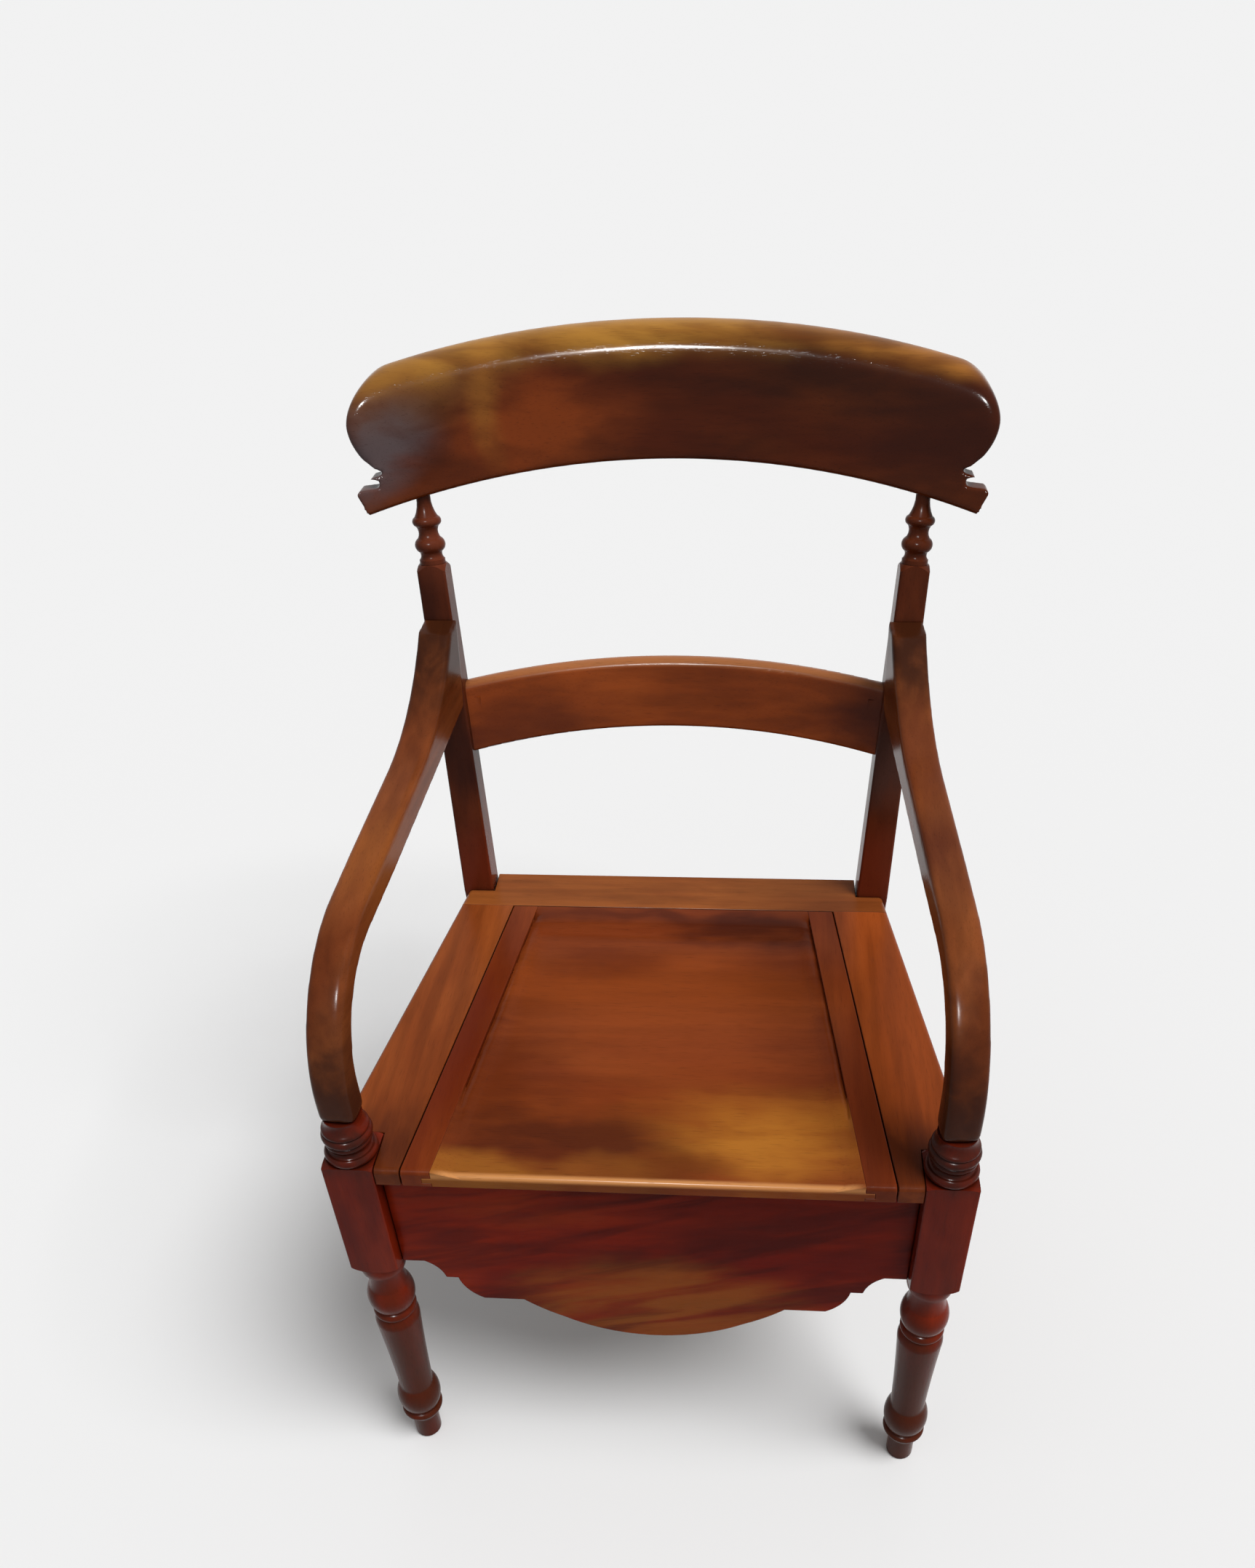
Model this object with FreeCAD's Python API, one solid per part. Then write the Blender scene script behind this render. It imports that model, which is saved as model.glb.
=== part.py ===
import FreeCAD, Part
import math
import os

vec = FreeCAD.Vector

# Stance in millimetres: x to the right, y to the back from the front leg axes, z up from the floor
seat_height = 436.0
post_spread = 496.0
seat_depth = 371.5
back_spread = 417.8
splay_angle = 2.7
rake_angle = 9.6

# Fits
glue_gap = 0.1
board_gap = 0.4
lid_gap = 1.2
pot_gap = 2.0
screw_gap = 0.1

# Seat boards and lid
board_thickness = 18.0
nosing_radius = 5.0
lid_front_half = 203.6
lid_rear_half = 166.0
lid_overhang = 13.5
lid_rear_margin = 27.0
clamp_width = 25.0
tongue_length = 8.0
tongue_thickness = 6.0
dish_depth = 4.5
dish_slope = 16.0
dish_rear_margin = 26.0
seat_rear_half = 223.0
seat_flare = 7.8
back_board_width = 56.0

# Front legs: square block, turnings from the floor up, collar above the block
block_side = 43.0
block_height = 140.0
block_rise = 1.0
block_edge = 1.5
shoulder_height = 11.0
toe_radius = 13.2
toe_height = 30.0
toe_chamfer = 1.5
ankle_radius = 17.6
ankle_height = 12.0
anklet_radius = 20.6
anklet_height = 9.0
bulb_radius = 21.6
bulb_height = 39.0
shaft_low_radius = 16.6
shaft_mid_radius = 18.3
shaft_high_radius = 21.2
shaft_round = 12.0
groove_radius = 17.6
ring_height = 10.0
ring_radius = 20.4
bead_height = 33.0
bead_radius = 22.2
cove_height = 26.0
cove_radius = 16.4
lip_height = 13.0
lip_radius = 20.4
lip_flare = 1.0
lip_reveal = 0.5
turning_dip = 0.8
collar_ring_height = 8.5
collar_ring_radius = 22.6
collar_ring_round = 2.0
collar_step = 1.2
collar_neck_dip = 0.5
collar_cove_height = 7.0
collar_cove_radius = 17.0
collar_small_bead = 5.0
collar_small_radius = 19.9
collar_large_bead = 9.0
collar_large_radius = 21.4
collar_neck_height = 11.0
collar_neck_radius = 16.4
spigot_radius = 9.0
spigot_length = 28.0

# Front apron
apron_recess = 14.5
apron_thickness = 22.0
apron_end_drop = 121.0
apron_step_drop = 144.0
apron_lobe_drop = 174.0
apron_centre_drop = 223.0
apron_end_flat = 20.0
apron_step_flat = 11.0
apron_cove_width = 17.0
apron_ogee_width = 21.0
apron_lobe_width = 37.0

# Seat frame
rail_thickness = 24.0
rail_depth = 105.0
rail_setback = 3.0
back_rail_thickness = 20.0
back_rail_recess = 4.5
tenon_thickness = 10.0
tenon_length = 16.0
tenon_height = 70.0

# Back posts
post_width = 32.0
post_top_width = 27.0
post_depth = 30.0
post_top_depth = 26.5
post_edge = 2.5
square_rise = 331.0
kick_start = 128.0
kick_back = 50.0
foot_depth = 26.0
kick_stations = 5
neck_shoulder = 7.0
neck_base_radius = 12.0
neck_base_height = 4.0
neck_cove_height = 7.0
neck_cove_radius = 10.0
neck_bead_height = 12.0
neck_bead_radius = 14.2
neck_waist_height = 11.0
neck_waist_radius = 9.0
neck_step = 1.8
neck_ring_height = 8.0
neck_ring_radius = 13.4
neck_taper_height = 13.0
neck_top_radius = 6.6
neck_straight = 5.0
neck_tenon = 24.0

# Crest rail
crest_radius = 604.0
crest_droop = 28.0
crest_lean = 10.0
crest_thickness = 24.0
crest_thinning = 7.0
crest_height = 114.0
crest_roll = 30.0
crest_roll_loss = 0.25
crest_lip = 0.36
crest_hollow = 16.0
crest_low_edge = 3.0
crest_stations = 13
crest_half = 285.5
lobe_radius = 41.5
lobe_rise = 79.0
crest_shoulder_radius = 54.5
crest_shoulder_drop = 11.5
notch_inset = 34.0
notch_rise = 38.0
spur_inset = 12.5
spur_rise = 33.5
spur_root = 25.0
spur_root_rise = 33.0
lug_rise = 26.0
lug_drop = 8.0
lug_inset = 5.3
lug_corner = 3.0
lug_tip_inset = 19.4

# Mid rail
mid_rail_rise = 180.5
mid_rail_radius = 556.0
mid_rail_droop = 14.0
mid_rail_thickness = 20.0
mid_rail_height = 70.0
mid_rail_top_edge = 9.0
mid_rail_low_edge = 3.0
mid_tenon_thickness = 8.0
mid_tenon_height = 46.0
mid_tenon_length = 14.0

# Arms
arm_width = 32.0
arm_half = 13.8
arm_rear_rise = 240.0
arm_bend_rise = 21.0
arm_bend_radius = 126.5
arm_inner_radius = 90.0
arm_slope = 6.8
arm_thickness = 28.0
arm_rear_radius = 221.0
arm_rise_angle = 46.7
arm_end_depth = 26.0
arm_end_slope = 8.0
arm_edge = 5.0
arm_low_edge = 3.0

# Pot, pot board and their supports
batten_thickness = 16.0
batten_width = 22.0
batten_inset = 12.0
batten_rear_margin = 24.5
batten_clearance = 2.0
pot_board_thickness = 16.0
pot_board_gap = 1.0
pot_board_front_half = 224.0
pot_board_rear_half = 186.0
pot_middle = 173.5
pot_radius = 112.0
pot_rim_width = 18.0
pot_rim_height = 6.0
pot_depth = 130.0
pot_wall = 5.0
pot_base_radius = 68.0
pot_foot_height = 6.0
ledger_width = 20.0
ledger_height = 22.0
ledger_inset = 40.0
front_ledger_half = 165.0
back_ledger_half = 140.0
brace_width = 30.0
brace_reach = 38.0
brace_height = 38.0
brace_drop = 6.0

# Screws and plugs
screw_radius = 2.2
screw_head_radius = 4.2
screw_head_height = 2.8
screw_bite = 11.0
arm_screw_length = 46.0
arm_screw_drop = 34.0
plug_radius = 5.0
plug_length = 8.0
side_screws = 3
batten_screw_count = 3


def prism(points, low, high):
    corners = [vec(x, y, low) for x, y in points]
    wire = Part.makePolygon(corners + corners[:1])
    return Part.Face(wire).extrude(vec(0, 0, high - low))


def box(x0, x1, y0, y1, z0, z1):
    return Part.makeBox(x1 - x0, y1 - y0, z1 - z0, vec(x0, y0, z0))


# Steps are (a, b) for a line or (a, b, mid a, mid b) for an arc; spot turns (a, b) into a point
def shaped(steps, spot):
    edges = []
    first = spot(steps[0][0], steps[0][1])
    last = first
    for step in steps[1:]:
        end = spot(step[0], step[1])
        if len(step) == 4:
            edges.append(Part.Arc(last, spot(step[2], step[3]), end).toShape())
        else:
            edges.append(Part.makeLine(last, end))
        last = end
    if last.distanceToPoint(first) > 1e-6:
        edges.append(Part.makeLine(last, first))
    return Part.Face(Part.Wire(edges))


# Rings are (z, radius) for a line or (z, radius, radius half way) for an arc, from the bottom up
def turned(rings):
    steps = [(0.0, rings[0][0]), (rings[0][1], rings[0][0])]
    for under, ring in zip(rings, rings[1:]):
        if len(ring) == 3:
            steps.append((ring[1], ring[0], ring[2], (under[0] + ring[0]) / 2))
        else:
            steps.append((ring[1], ring[0]))
    steps.append((0.0, rings[-1][0]))
    face = shaped(steps, lambda r, z: vec(r, 0, z))
    return face.revolve(vec(), vec(0, 0, 1), 360)


def mirrored(shape):
    return shape.mirror(vec(), vec(1, 0, 0))


def both(shape):
    return [shape, mirrored(shape)]


def cut_all(shape, tools):
    for tool in tools:
        shape = shape.cut(tool)
    return shape


def aimed(shape, start, direction):
    turn = FreeCAD.Rotation(vec(0, 0, 1), direction)
    placed = shape.copy()
    placed.Placement = FreeCAD.Placement(start, turn)
    return placed


def screw(length, gap=0.0):
    rings = [(-gap, screw_head_radius + gap), (screw_head_height, screw_radius + gap)]
    rings.append((length - 2 * screw_radius, screw_radius + gap))
    rings.append((length + gap, 0.3 + gap))
    return turned(rings)


def edges_near(solid, spots):
    found = []
    for spot in spots:
        vertex = Part.Vertex(spot)
        found.append(min(solid.Edges, key=lambda edge: edge.distToShape(vertex)[0]))
    return found


# Lines and levels that several pieces share
post_x = post_spread / 2
block_half = block_side / 2
block_inner = post_x - block_half
block_rear = block_half
block_top = seat_height + block_rise
block_bottom = block_top - block_height
board_low = seat_height - board_thickness
apron_front = apron_recess - block_half
apron_back = apron_front + apron_thickness
lid_front = apron_front - lid_overhang
lid_rear = seat_depth - lid_rear_margin
lid_length = lid_rear - lid_front
back_board_front = lid_rear + lid_gap
back_board_rear = back_board_front + back_board_width
rail_low = board_low - rail_depth
back_rail_front = seat_depth + back_rail_recess
splay = math.radians(splay_angle)
rake = math.radians(rake_angle)
batten_low = board_low - batten_thickness
batten_start = apron_back + batten_clearance
batten_length = lid_rear - batten_rear_margin - batten_start
pot_board_low = batten_low - pot_board_thickness
ledger_low = pot_board_low - ledger_height


def lid_half(y):
    share = (y - lid_front) / lid_length
    return lid_front_half + (lid_rear_half - lid_front_half) * share


def seat_edge(y):
    return seat_rear_half + (back_board_front - y) * math.tan(math.radians(seat_flare))


def rail_outer(y):
    return seat_edge(y) - rail_setback


def rail_inner(y):
    return rail_outer(y) - rail_thickness / math.cos(math.radians(seat_flare))


def post_place(shape):
    turn = FreeCAD.Rotation(vec(0, 1, 0), splay_angle)
    placed = shape.copy()
    placed.Placement = FreeCAD.Placement(vec(back_spread / 2, seat_depth, seat_height), turn)
    return placed


def post_point(y, z):
    turn = FreeCAD.Rotation(vec(0, 1, 0), splay_angle)
    return turn.multVec(vec(0, y, z)) + vec(back_spread / 2, seat_depth, seat_height)


# The back post in its own upright plane: front face at y = 0, seat top at z = 0
square_front = square_rise * math.tan(rake)
square_mid = square_front + post_top_depth / 2
neck_aim = vec(0, math.sin(rake), math.cos(rake))
neck_length = neck_base_height + neck_cove_height + neck_bead_height + neck_waist_height
neck_length += neck_ring_height + neck_taper_height + neck_straight
neck_top = post_point(square_mid + neck_aim.y * neck_length, square_rise + neck_aim.z * neck_length)


def neck_rings():
    z = neck_base_height
    step = neck_waist_radius + neck_step
    rings = [(-neck_shoulder, neck_base_radius), (z, neck_base_radius)]
    z += neck_cove_height
    rings.append((z, step, neck_cove_radius))
    z += neck_bead_height
    rings.append((z, step, neck_bead_radius))
    z += neck_waist_height
    rings.append((z, step, neck_waist_radius))
    z += neck_ring_height
    rings.append((z, step, neck_ring_radius))
    z += neck_taper_height
    rings.append((z, neck_top_radius, (step + neck_top_radius) / 2 - turning_dip))
    rings.append((neck_length + neck_tenon, neck_top_radius))
    return rings


# How far an arc has moved back after a fall, where it moves back by the given amount at the post's foot
def kick(back, fall):
    depth = seat_height + post_width - kick_start
    radius = (depth * depth + back * back) / (2 * back)
    return radius - math.sqrt(radius * radius - fall * fall)


def post_section(z):
    rise = max(z, 0.0) / square_rise
    fall = max(-kick_start - z, 0.0)
    front = square_front * rise + kick(kick_back, fall)
    back = post_depth + (square_front + post_top_depth - post_depth) * rise
    back += kick(kick_back + foot_depth - post_depth, fall)
    half = (post_width + (post_top_width - post_width) * rise) / 2
    soft = post_edge * (1 - math.sqrt(0.5))
    side = half - post_edge
    near = front + post_edge
    far = back - post_edge
    steps = [(-side, front), (side, front), (half, near, half - soft, front + soft)]
    steps += [(half, far), (side, back, half - soft, back - soft)]
    steps += [(-side, back), (-half, far, soft - half, back - soft)]
    steps += [(-half, near), (-side, front, soft - half, front + soft)]
    return shaped(steps, lambda x, y: vec(x, y, z)).OuterWire


def make_post():
    low = -seat_height - post_width
    levels = []
    for index in range(kick_stations + 1):
        levels.append(-kick_start + (low + kick_start) * index / kick_stations)
    foot = Part.makeLoft([post_section(z) for z in levels], True, False)
    middle = Part.makeLoft([post_section(-kick_start), post_section(0.0)], True, True)
    upper = Part.makeLoft([post_section(0.0), post_section(square_rise + neck_shoulder)], True, True)
    top = vec(0, square_mid, square_rise)
    under = vec(0, 0, -neck_shoulder)
    ring = Part.makeCylinder(post_width, neck_shoulder + post_depth, under)
    cone = Part.makeCone(post_top_width * 0.72, neck_base_radius + 1, neck_shoulder, under)
    upper = upper.cut(aimed(ring.cut(cone), top, neck_aim))
    upper = upper.fuse(aimed(turned(neck_rings()), top, neck_aim))
    post = post_place(foot.fuse([middle, upper]))
    far = post_spread + seat_depth + kick_back
    floor = box(-far, far, -far, far, -2 * post_width, 0)
    return post.cut(floor).removeSplitter()


# The spaces beyond the post's inner face and beyond its front face, above the seat
def past_inner_face():
    far = 4 * post_width
    corners = [(-post_width / 2, 0.0), (-post_top_width / 2, square_rise), (far, square_rise), (far, 0.0)]
    face = shaped(corners, lambda x, z: vec(x, -post_depth, z))
    return post_place(face.extrude(vec(0, 12 * post_depth, 0)))


def past_front_face():
    far = 4 * post_width
    corners = [(0.0, 0.0), (square_front, square_rise), (square_front + far, square_rise), (far, 0.0)]
    face = shaped(corners, lambda y, z: vec(-far, y, z))
    return post_place(face.extrude(vec(2 * far, 0, 0)))


# A rail bent in plan round an axis that leans forward, so that its ends droop: the frame of its middle
# section, which is drawn round the point that reaches the given end
class Bend:
    def __init__(self, radius, droop_angle, lean_angle, end):
        droop = math.radians(droop_angle)
        self.lean = math.radians(lean_angle)
        sag = radius - math.sqrt(radius * radius - end.x * end.x)
        inward = vec(0, math.cos(droop), math.sin(droop))
        self.middle = vec(0, end.y, end.z) + inward * sag
        self.centre = self.middle - inward * radius
        self.axis = vec(0, -math.sin(droop), math.cos(droop))
        self.radius = radius
        self.incline = math.sin(droop)

    def spot(self, p, q):
        back = p * math.cos(self.lean) + q * math.sin(self.lean)
        up = q * math.cos(self.lean) - p * math.sin(self.lean)
        return self.middle + vec(0, back, up)

    def swing(self, half_width):
        return math.degrees(math.asin(half_width / self.radius))

    def level(self, half_width):
        return self.centre.z + math.sqrt(self.radius ** 2 - half_width ** 2) * self.incline

    def section(self, steps, angle):
        face = shaped(steps, self.spot)
        face.rotate(self.centre, self.axis, angle)
        return face


def lobe_point(level, angle):
    turn = math.radians(angle)
    x = crest_half - lobe_radius + lobe_radius * math.cos(turn)
    return x, level + lobe_rise + lobe_radius * math.sin(turn)


def shoulder_point(level, angle):
    turn = math.radians(angle)
    centre = crest_half - math.sqrt(crest_shoulder_radius ** 2 - crest_shoulder_drop ** 2)
    x = centre + crest_shoulder_radius * math.cos(turn)
    return x, level + lobe_rise - crest_shoulder_drop + crest_shoulder_radius * math.sin(turn)


def crest_section(share):
    front = -crest_thickness / 2
    back = crest_thickness / 2 - crest_thinning * share ** 2
    slant = math.sqrt(0.5)
    roll = crest_roll * (1 - crest_roll_loss * abs(share) ** 3)
    roll_mid = crest_height - crest_roll
    high = roll_mid + roll
    over = front + roll
    lip = crest_lip * roll
    low = high - 2 * lip
    edge = crest_low_edge
    soft = edge * (1 - slant)
    steps = [(front, edge), (front, roll_mid)]
    steps.append((over, high, over - roll * slant, roll_mid + roll * slant))
    steps.append((over + lip * 0.3, low, over + lip, high - lip))
    steps.append((back, low - crest_hollow, back + 0.3 * (over - back), low - 0.35 * crest_hollow))
    steps.append((back, edge))
    steps.append((back - edge, 0.0, back - soft, soft))
    steps.append((front + edge, 0.0))
    steps.append((front, edge, front + soft, soft))
    return steps


def make_crest(neck_holes):
    bend = Bend(crest_radius, crest_droop, crest_lean, neck_top)
    reach = bend.swing(crest_half + crest_thickness / 2)
    wires = []
    for index in range(crest_stations):
        share = 2 * index / (crest_stations - 1) - 1
        wires.append(bend.section(crest_section(share), share * reach).OuterWire)
    crest = Part.makeLoft(wires, True, False)
    level = bend.level(crest_half)
    high = level + 2 * crest_height
    wide = crest_half + crest_height
    shoulder = shoulder_point(level, 80)
    outline = [(shoulder[0], high), shoulder]
    outline.append(lobe_point(level, 0) + shoulder_point(level, 45))
    outline.append(lobe_point(level, -78) + lobe_point(level, -39))
    outline.append((crest_half - notch_inset, level + notch_rise))
    outline.append((crest_half - spur_inset, level + spur_rise))
    outline.append((crest_half - spur_root, level + spur_root_rise))
    outline.append((crest_half - spur_root, level + lug_rise))
    outline.append((crest_half - lug_inset - lug_corner, level + lug_rise))
    outline.append((crest_half - lug_inset, level + lug_rise - lug_corner))
    outline += [(crest_half - lug_tip_inset, level - lug_drop), (wide, level - lug_drop), (wide, high)]
    waste = shaped(outline, lambda x, z: vec(x, 0, z)).extrude(vec(0, 2 * crest_radius, 0))
    crest = cut_all(crest, both(waste))
    return cut_all(crest, neck_holes)


def make_mid_rail(end, tenon):
    half = mid_rail_thickness / 2
    tall = mid_rail_height / 2
    top = mid_rail_top_edge
    low = mid_rail_low_edge
    slant = 1 - math.sqrt(0.5)
    steps = [(-half, low - tall), (-half, tall - top)]
    steps.append((top - half, tall, slant * top - half, tall - slant * top))
    steps.append((half - top, tall))
    steps.append((half, tall - top, half - slant * top, tall - slant * top))
    steps.append((half, low - tall))
    steps.append((half - low, -tall, half - slant * low, slant * low - tall))
    steps.append((low - half, -tall))
    steps.append((-half, low - tall, slant * low - half, slant * low - tall))
    bend = Bend(mid_rail_radius, mid_rail_droop, rake_angle, end)
    reach = bend.swing(end.x)
    rail = bend.section(steps, -reach).revolve(bend.centre, bend.axis, 2 * reach)
    rail = cut_all(rail, both(past_inner_face()))
    rail = max(rail.Solids, key=lambda solid: solid.Volume)
    for piece in both(tenon):
        rail = rail.fuse(piece)
    return rail.removeSplitter()


def leg_rings():
    z = toe_height
    rings = [(0.0, toe_radius - toe_chamfer), (toe_chamfer, toe_radius), (z, toe_radius)]
    z += ankle_height
    rings.append((z, ankle_radius, (toe_radius + ankle_radius) / 2 - turning_dip))
    z += anklet_height
    rings.append((z, ankle_radius, anklet_radius))
    z += bulb_height
    rings.append((z, shaft_low_radius, bulb_radius))
    z = block_bottom - lip_height - cove_height - bead_height - ring_height - shaft_round
    rings.append((z, shaft_high_radius, shaft_mid_radius))
    z += shaft_round
    rings.append((z, groove_radius, shaft_high_radius - turning_dip))
    z += ring_height
    rings.append((z, groove_radius, ring_radius))
    z += bead_height
    rings.append((z, groove_radius, bead_radius))
    z += cove_height
    rings.append((z, groove_radius, cove_radius))
    rings.append((z, lip_radius))
    z += lip_height
    rings.append((z, block_half - lip_reveal, lip_radius + lip_flare))
    return rings


def collar_rings():
    z = block_top
    step = collar_small_radius - collar_step
    rings = [(z, collar_ring_radius - collar_ring_round)]
    z += collar_ring_height
    rings.append((z, collar_ring_radius - collar_ring_round, collar_ring_radius))
    rings.append((z, step))
    z += collar_cove_height
    rings.append((z, step, collar_cove_radius))
    z += collar_small_bead
    rings.append((z, step, collar_small_radius))
    z += collar_large_bead
    rings.append((z, step, collar_large_radius))
    z += collar_small_bead
    rings.append((z, step, collar_small_radius))
    z += collar_neck_height
    rings.append((z, collar_neck_radius, collar_neck_radius - collar_neck_dip))
    rings.append((z, spigot_radius))
    rings.append((z + spigot_length, spigot_radius))
    return rings


collar_top = block_top + collar_ring_height + collar_cove_height + 2 * collar_small_bead
collar_top += collar_large_bead + collar_neck_height


def make_leg(mortises):
    square = box(-block_half, block_half, -block_half, block_half, block_bottom, block_top)
    upright = [edge for edge in square.Edges if edge.BoundBox.ZLength > block_height / 2]
    square = square.makeFillet(block_edge, upright)
    corner = block_half * 1.5
    rings = [(block_bottom, block_half - 0.5), (block_bottom + shoulder_height, corner, corner - 3.0)]
    rings.append((block_top - shoulder_height / 2, corner))
    rings.append((block_top, block_half + 2.0, corner - 1.5))
    square = square.common(turned(rings))
    leg = square.fuse(turned(leg_rings())).fuse(turned(collar_rings()))
    leg.translate(vec(post_x, 0, 0))
    return cut_all(leg.removeSplitter(), mortises)


# The arm lies in an upright plane from the front leg axis to the middle of the back post
arm_back = post_point(arm_rear_rise * math.tan(rake), arm_rear_rise)
arm_turn = math.atan2(post_x - arm_back.x, arm_back.y)


def arm_face(z):
    return (seat_depth + (z - seat_height) * math.tan(rake)) / math.cos(arm_turn)


def arm_outline():
    slope = math.radians(arm_slope)
    rise = math.radians(arm_rise_angle)
    lean = math.tan(rake) / math.cos(arm_turn)
    bend_y = arm_bend_radius - arm_half
    bend_z = collar_top + arm_bend_rise
    half = (slope + math.pi / 2) / 2
    front_y = bend_y - arm_bend_radius * math.sin(slope)
    front_z = bend_z + arm_bend_radius * math.cos(slope)
    along = arm_rear_radius * (math.sin(rise) - math.sin(slope))
    up = arm_rear_radius * (math.cos(slope) - math.cos(rise))
    base = front_z - math.tan(slope) * front_y
    rear_y = arm_face(base + up) - arm_end_depth - along
    rear_y = rear_y / (1 - lean * math.tan(slope))
    rear_z = base + math.tan(slope) * rear_y
    mid = (slope + rise) / 2
    mid_y = rear_y + arm_rear_radius * (math.sin(mid) - math.sin(slope))
    mid_z = rear_z + arm_rear_radius * (math.cos(slope) - math.cos(mid))
    top_y = rear_y + along
    top_z = rear_z + up
    into = post_depth / 3
    end_y = top_y + arm_end_depth + into
    end_z = top_z + math.tan(math.radians(arm_end_slope)) * (arm_end_depth + into)
    under = base - arm_thickness / math.cos(slope)
    inner_y = arm_half + arm_inner_radius
    inner_z = under + math.tan(slope) * (inner_y - arm_inner_radius * math.sin(slope))
    inner_z -= arm_inner_radius * math.cos(slope)
    low_y = inner_y - arm_inner_radius * math.sin(slope)
    low_z = inner_z + arm_inner_radius * math.cos(slope)
    last_z = under + math.tan(slope) * arm_face(under)
    last_y = arm_face(last_z) + into
    steps = [(end_y, end_z), (top_y, top_z), (rear_y, rear_z, mid_y, mid_z), (front_y, front_z)]
    steps.append((-arm_half, bend_z, bend_y - arm_bend_radius * math.sin(half),
                  bend_z + arm_bend_radius * math.cos(half)))
    steps += [(-arm_half, collar_top), (arm_half, collar_top), (arm_half, inner_z)]
    steps.append((low_y, low_z, inner_y - arm_inner_radius * math.sin(half),
                  inner_z + arm_inner_radius * math.cos(half)))
    steps.append((last_y, last_z))
    return steps


def arm_place(shape):
    turn = FreeCAD.Rotation(vec(0, 0, 1), math.degrees(arm_turn))
    placed = shape.copy()
    placed.Placement = FreeCAD.Placement(vec(post_x, 0, 0), turn)
    return placed


def make_arm(holes):
    steps = arm_outline()
    side = shaped(steps, lambda y, z: vec(-arm_width / 2, y, z))
    arm = side.extrude(vec(arm_width, 0, 0))
    run = ((steps[2][0] + steps[3][0]) / 2, (steps[2][1] + steps[3][1]) / 2)
    low_run = ((steps[8][0] + steps[9][0]) / 2, (steps[8][1] + steps[9][1]) / 2)
    sides = (-arm_width / 2, arm_width / 2)
    arm = arm.makeFillet(arm_edge, edges_near(arm, [vec(x, run[0], run[1]) for x in sides]))
    arm = arm.makeFillet(arm_low_edge, edges_near(arm, [vec(x, low_run[0], low_run[1]) for x in sides]))
    arm = arm_place(arm).cut(past_front_face())
    return cut_all(arm, holes)


def make_apron(tenon):
    cove = block_inner - apron_end_flat
    step = cove - apron_cove_width
    ogee = step - apron_step_flat
    lobe = ogee - apron_ogee_width
    drop = lobe - apron_lobe_width
    end_z = board_low - apron_end_drop
    step_z = board_low - apron_step_drop
    lobe_z = board_low - apron_lobe_drop
    centre_z = board_low - apron_centre_drop
    turn_x = 0.7 * drop
    turn_z = (lobe_z + centre_z) / 2
    half = [(block_inner, board_low), (block_inner, end_z), (cove, end_z)]
    half.append((step, step_z, step + 0.35 * apron_cove_width, end_z + 0.4 * (step_z - end_z)))
    half.append((ogee, step_z))
    half.append((lobe, lobe_z, lobe + 0.62 * apron_ogee_width, lobe_z + 0.38 * (step_z - lobe_z)))
    half.append((drop, lobe_z))
    half.append((turn_x, turn_z, (drop + turn_x) / 2 + 0.06 * drop, lobe_z - 0.36 * (lobe_z - turn_z)))
    steps = list(half)
    steps.append((-turn_x, turn_z, 0.0, centre_z))
    corners = [(step[0], step[1]) for step in half]
    middles = [step[2:] for step in half]
    for index in range(len(half) - 1, 0, -1):
        end = corners[index - 1]
        arc = middles[index]
        if arc:
            steps.append((-end[0], end[1], -arc[0], arc[1]))
        else:
            steps.append((-end[0], end[1]))
    apron = shaped(steps, lambda x, z: vec(x, apron_front, z)).extrude(vec(0, apron_thickness, 0))
    for piece in both(tenon):
        apron = apron.fuse(piece)
    return apron.removeSplitter()


def make_side_rail(tenons):
    points = [(rail_outer(block_rear), block_rear), (rail_outer(seat_depth), seat_depth)]
    points += [(rail_inner(seat_depth), seat_depth), (rail_inner(block_rear), block_rear)]
    rail = prism(points, rail_low, board_low)
    for tenon in tenons:
        rail = rail.fuse(tenon)
    return rail.removeSplitter()


def nosed(shape, spots):
    return shape.makeFillet(nosing_radius, edges_near(shape, spots))


def make_side_board():
    inner = block_inner - board_gap
    rear = block_rear + board_gap
    points = [(lid_half(lid_front) + lid_gap, lid_front), (inner, lid_front), (inner, rear)]
    points += [(seat_edge(rear), rear), (seat_edge(back_board_front), back_board_front)]
    points += [(lid_half(back_board_front) + lid_gap, back_board_front)]
    board = prism(points, board_low, seat_height)
    middle = (block_rear + back_board_front) / 2
    return nosed(board, [vec((inner + lid_half(lid_front)) / 2, lid_front, seat_height),
                         vec(seat_edge(middle), middle, seat_height)])


def make_back_board():
    inner = back_spread / 2 - post_width / 2 / math.cos(splay) - board_gap - math.tan(splay) * board_thickness
    front = seat_depth - board_gap
    right = [(seat_edge(back_board_front), back_board_front), (seat_edge(front), front)]
    right += [(inner, front), (inner, back_board_rear)]
    points = right + [(-x, y) for x, y in reversed(right)]
    board = prism(points, board_low, seat_height)
    middle = (back_board_front + front) / 2
    return nosed(board, [vec(seat_edge(middle), middle, seat_height),
                         vec(-seat_edge(middle), middle, seat_height)])


def clamp_line(y):
    return lid_half(y) - clamp_width


def tongue(gap):
    middle = (seat_height - dish_depth + board_low) / 2
    low = middle - tongue_thickness / 2 - gap
    high = middle + tongue_thickness / 2 + gap
    reach = tongue_length + gap
    root = tongue_length / 2
    points = [(clamp_line(lid_front) - root, lid_front), (clamp_line(lid_front) + reach, lid_front)]
    points += [(clamp_line(lid_rear) + reach, lid_rear), (clamp_line(lid_rear) - root, lid_rear)]
    return prism(points, low, high)


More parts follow.
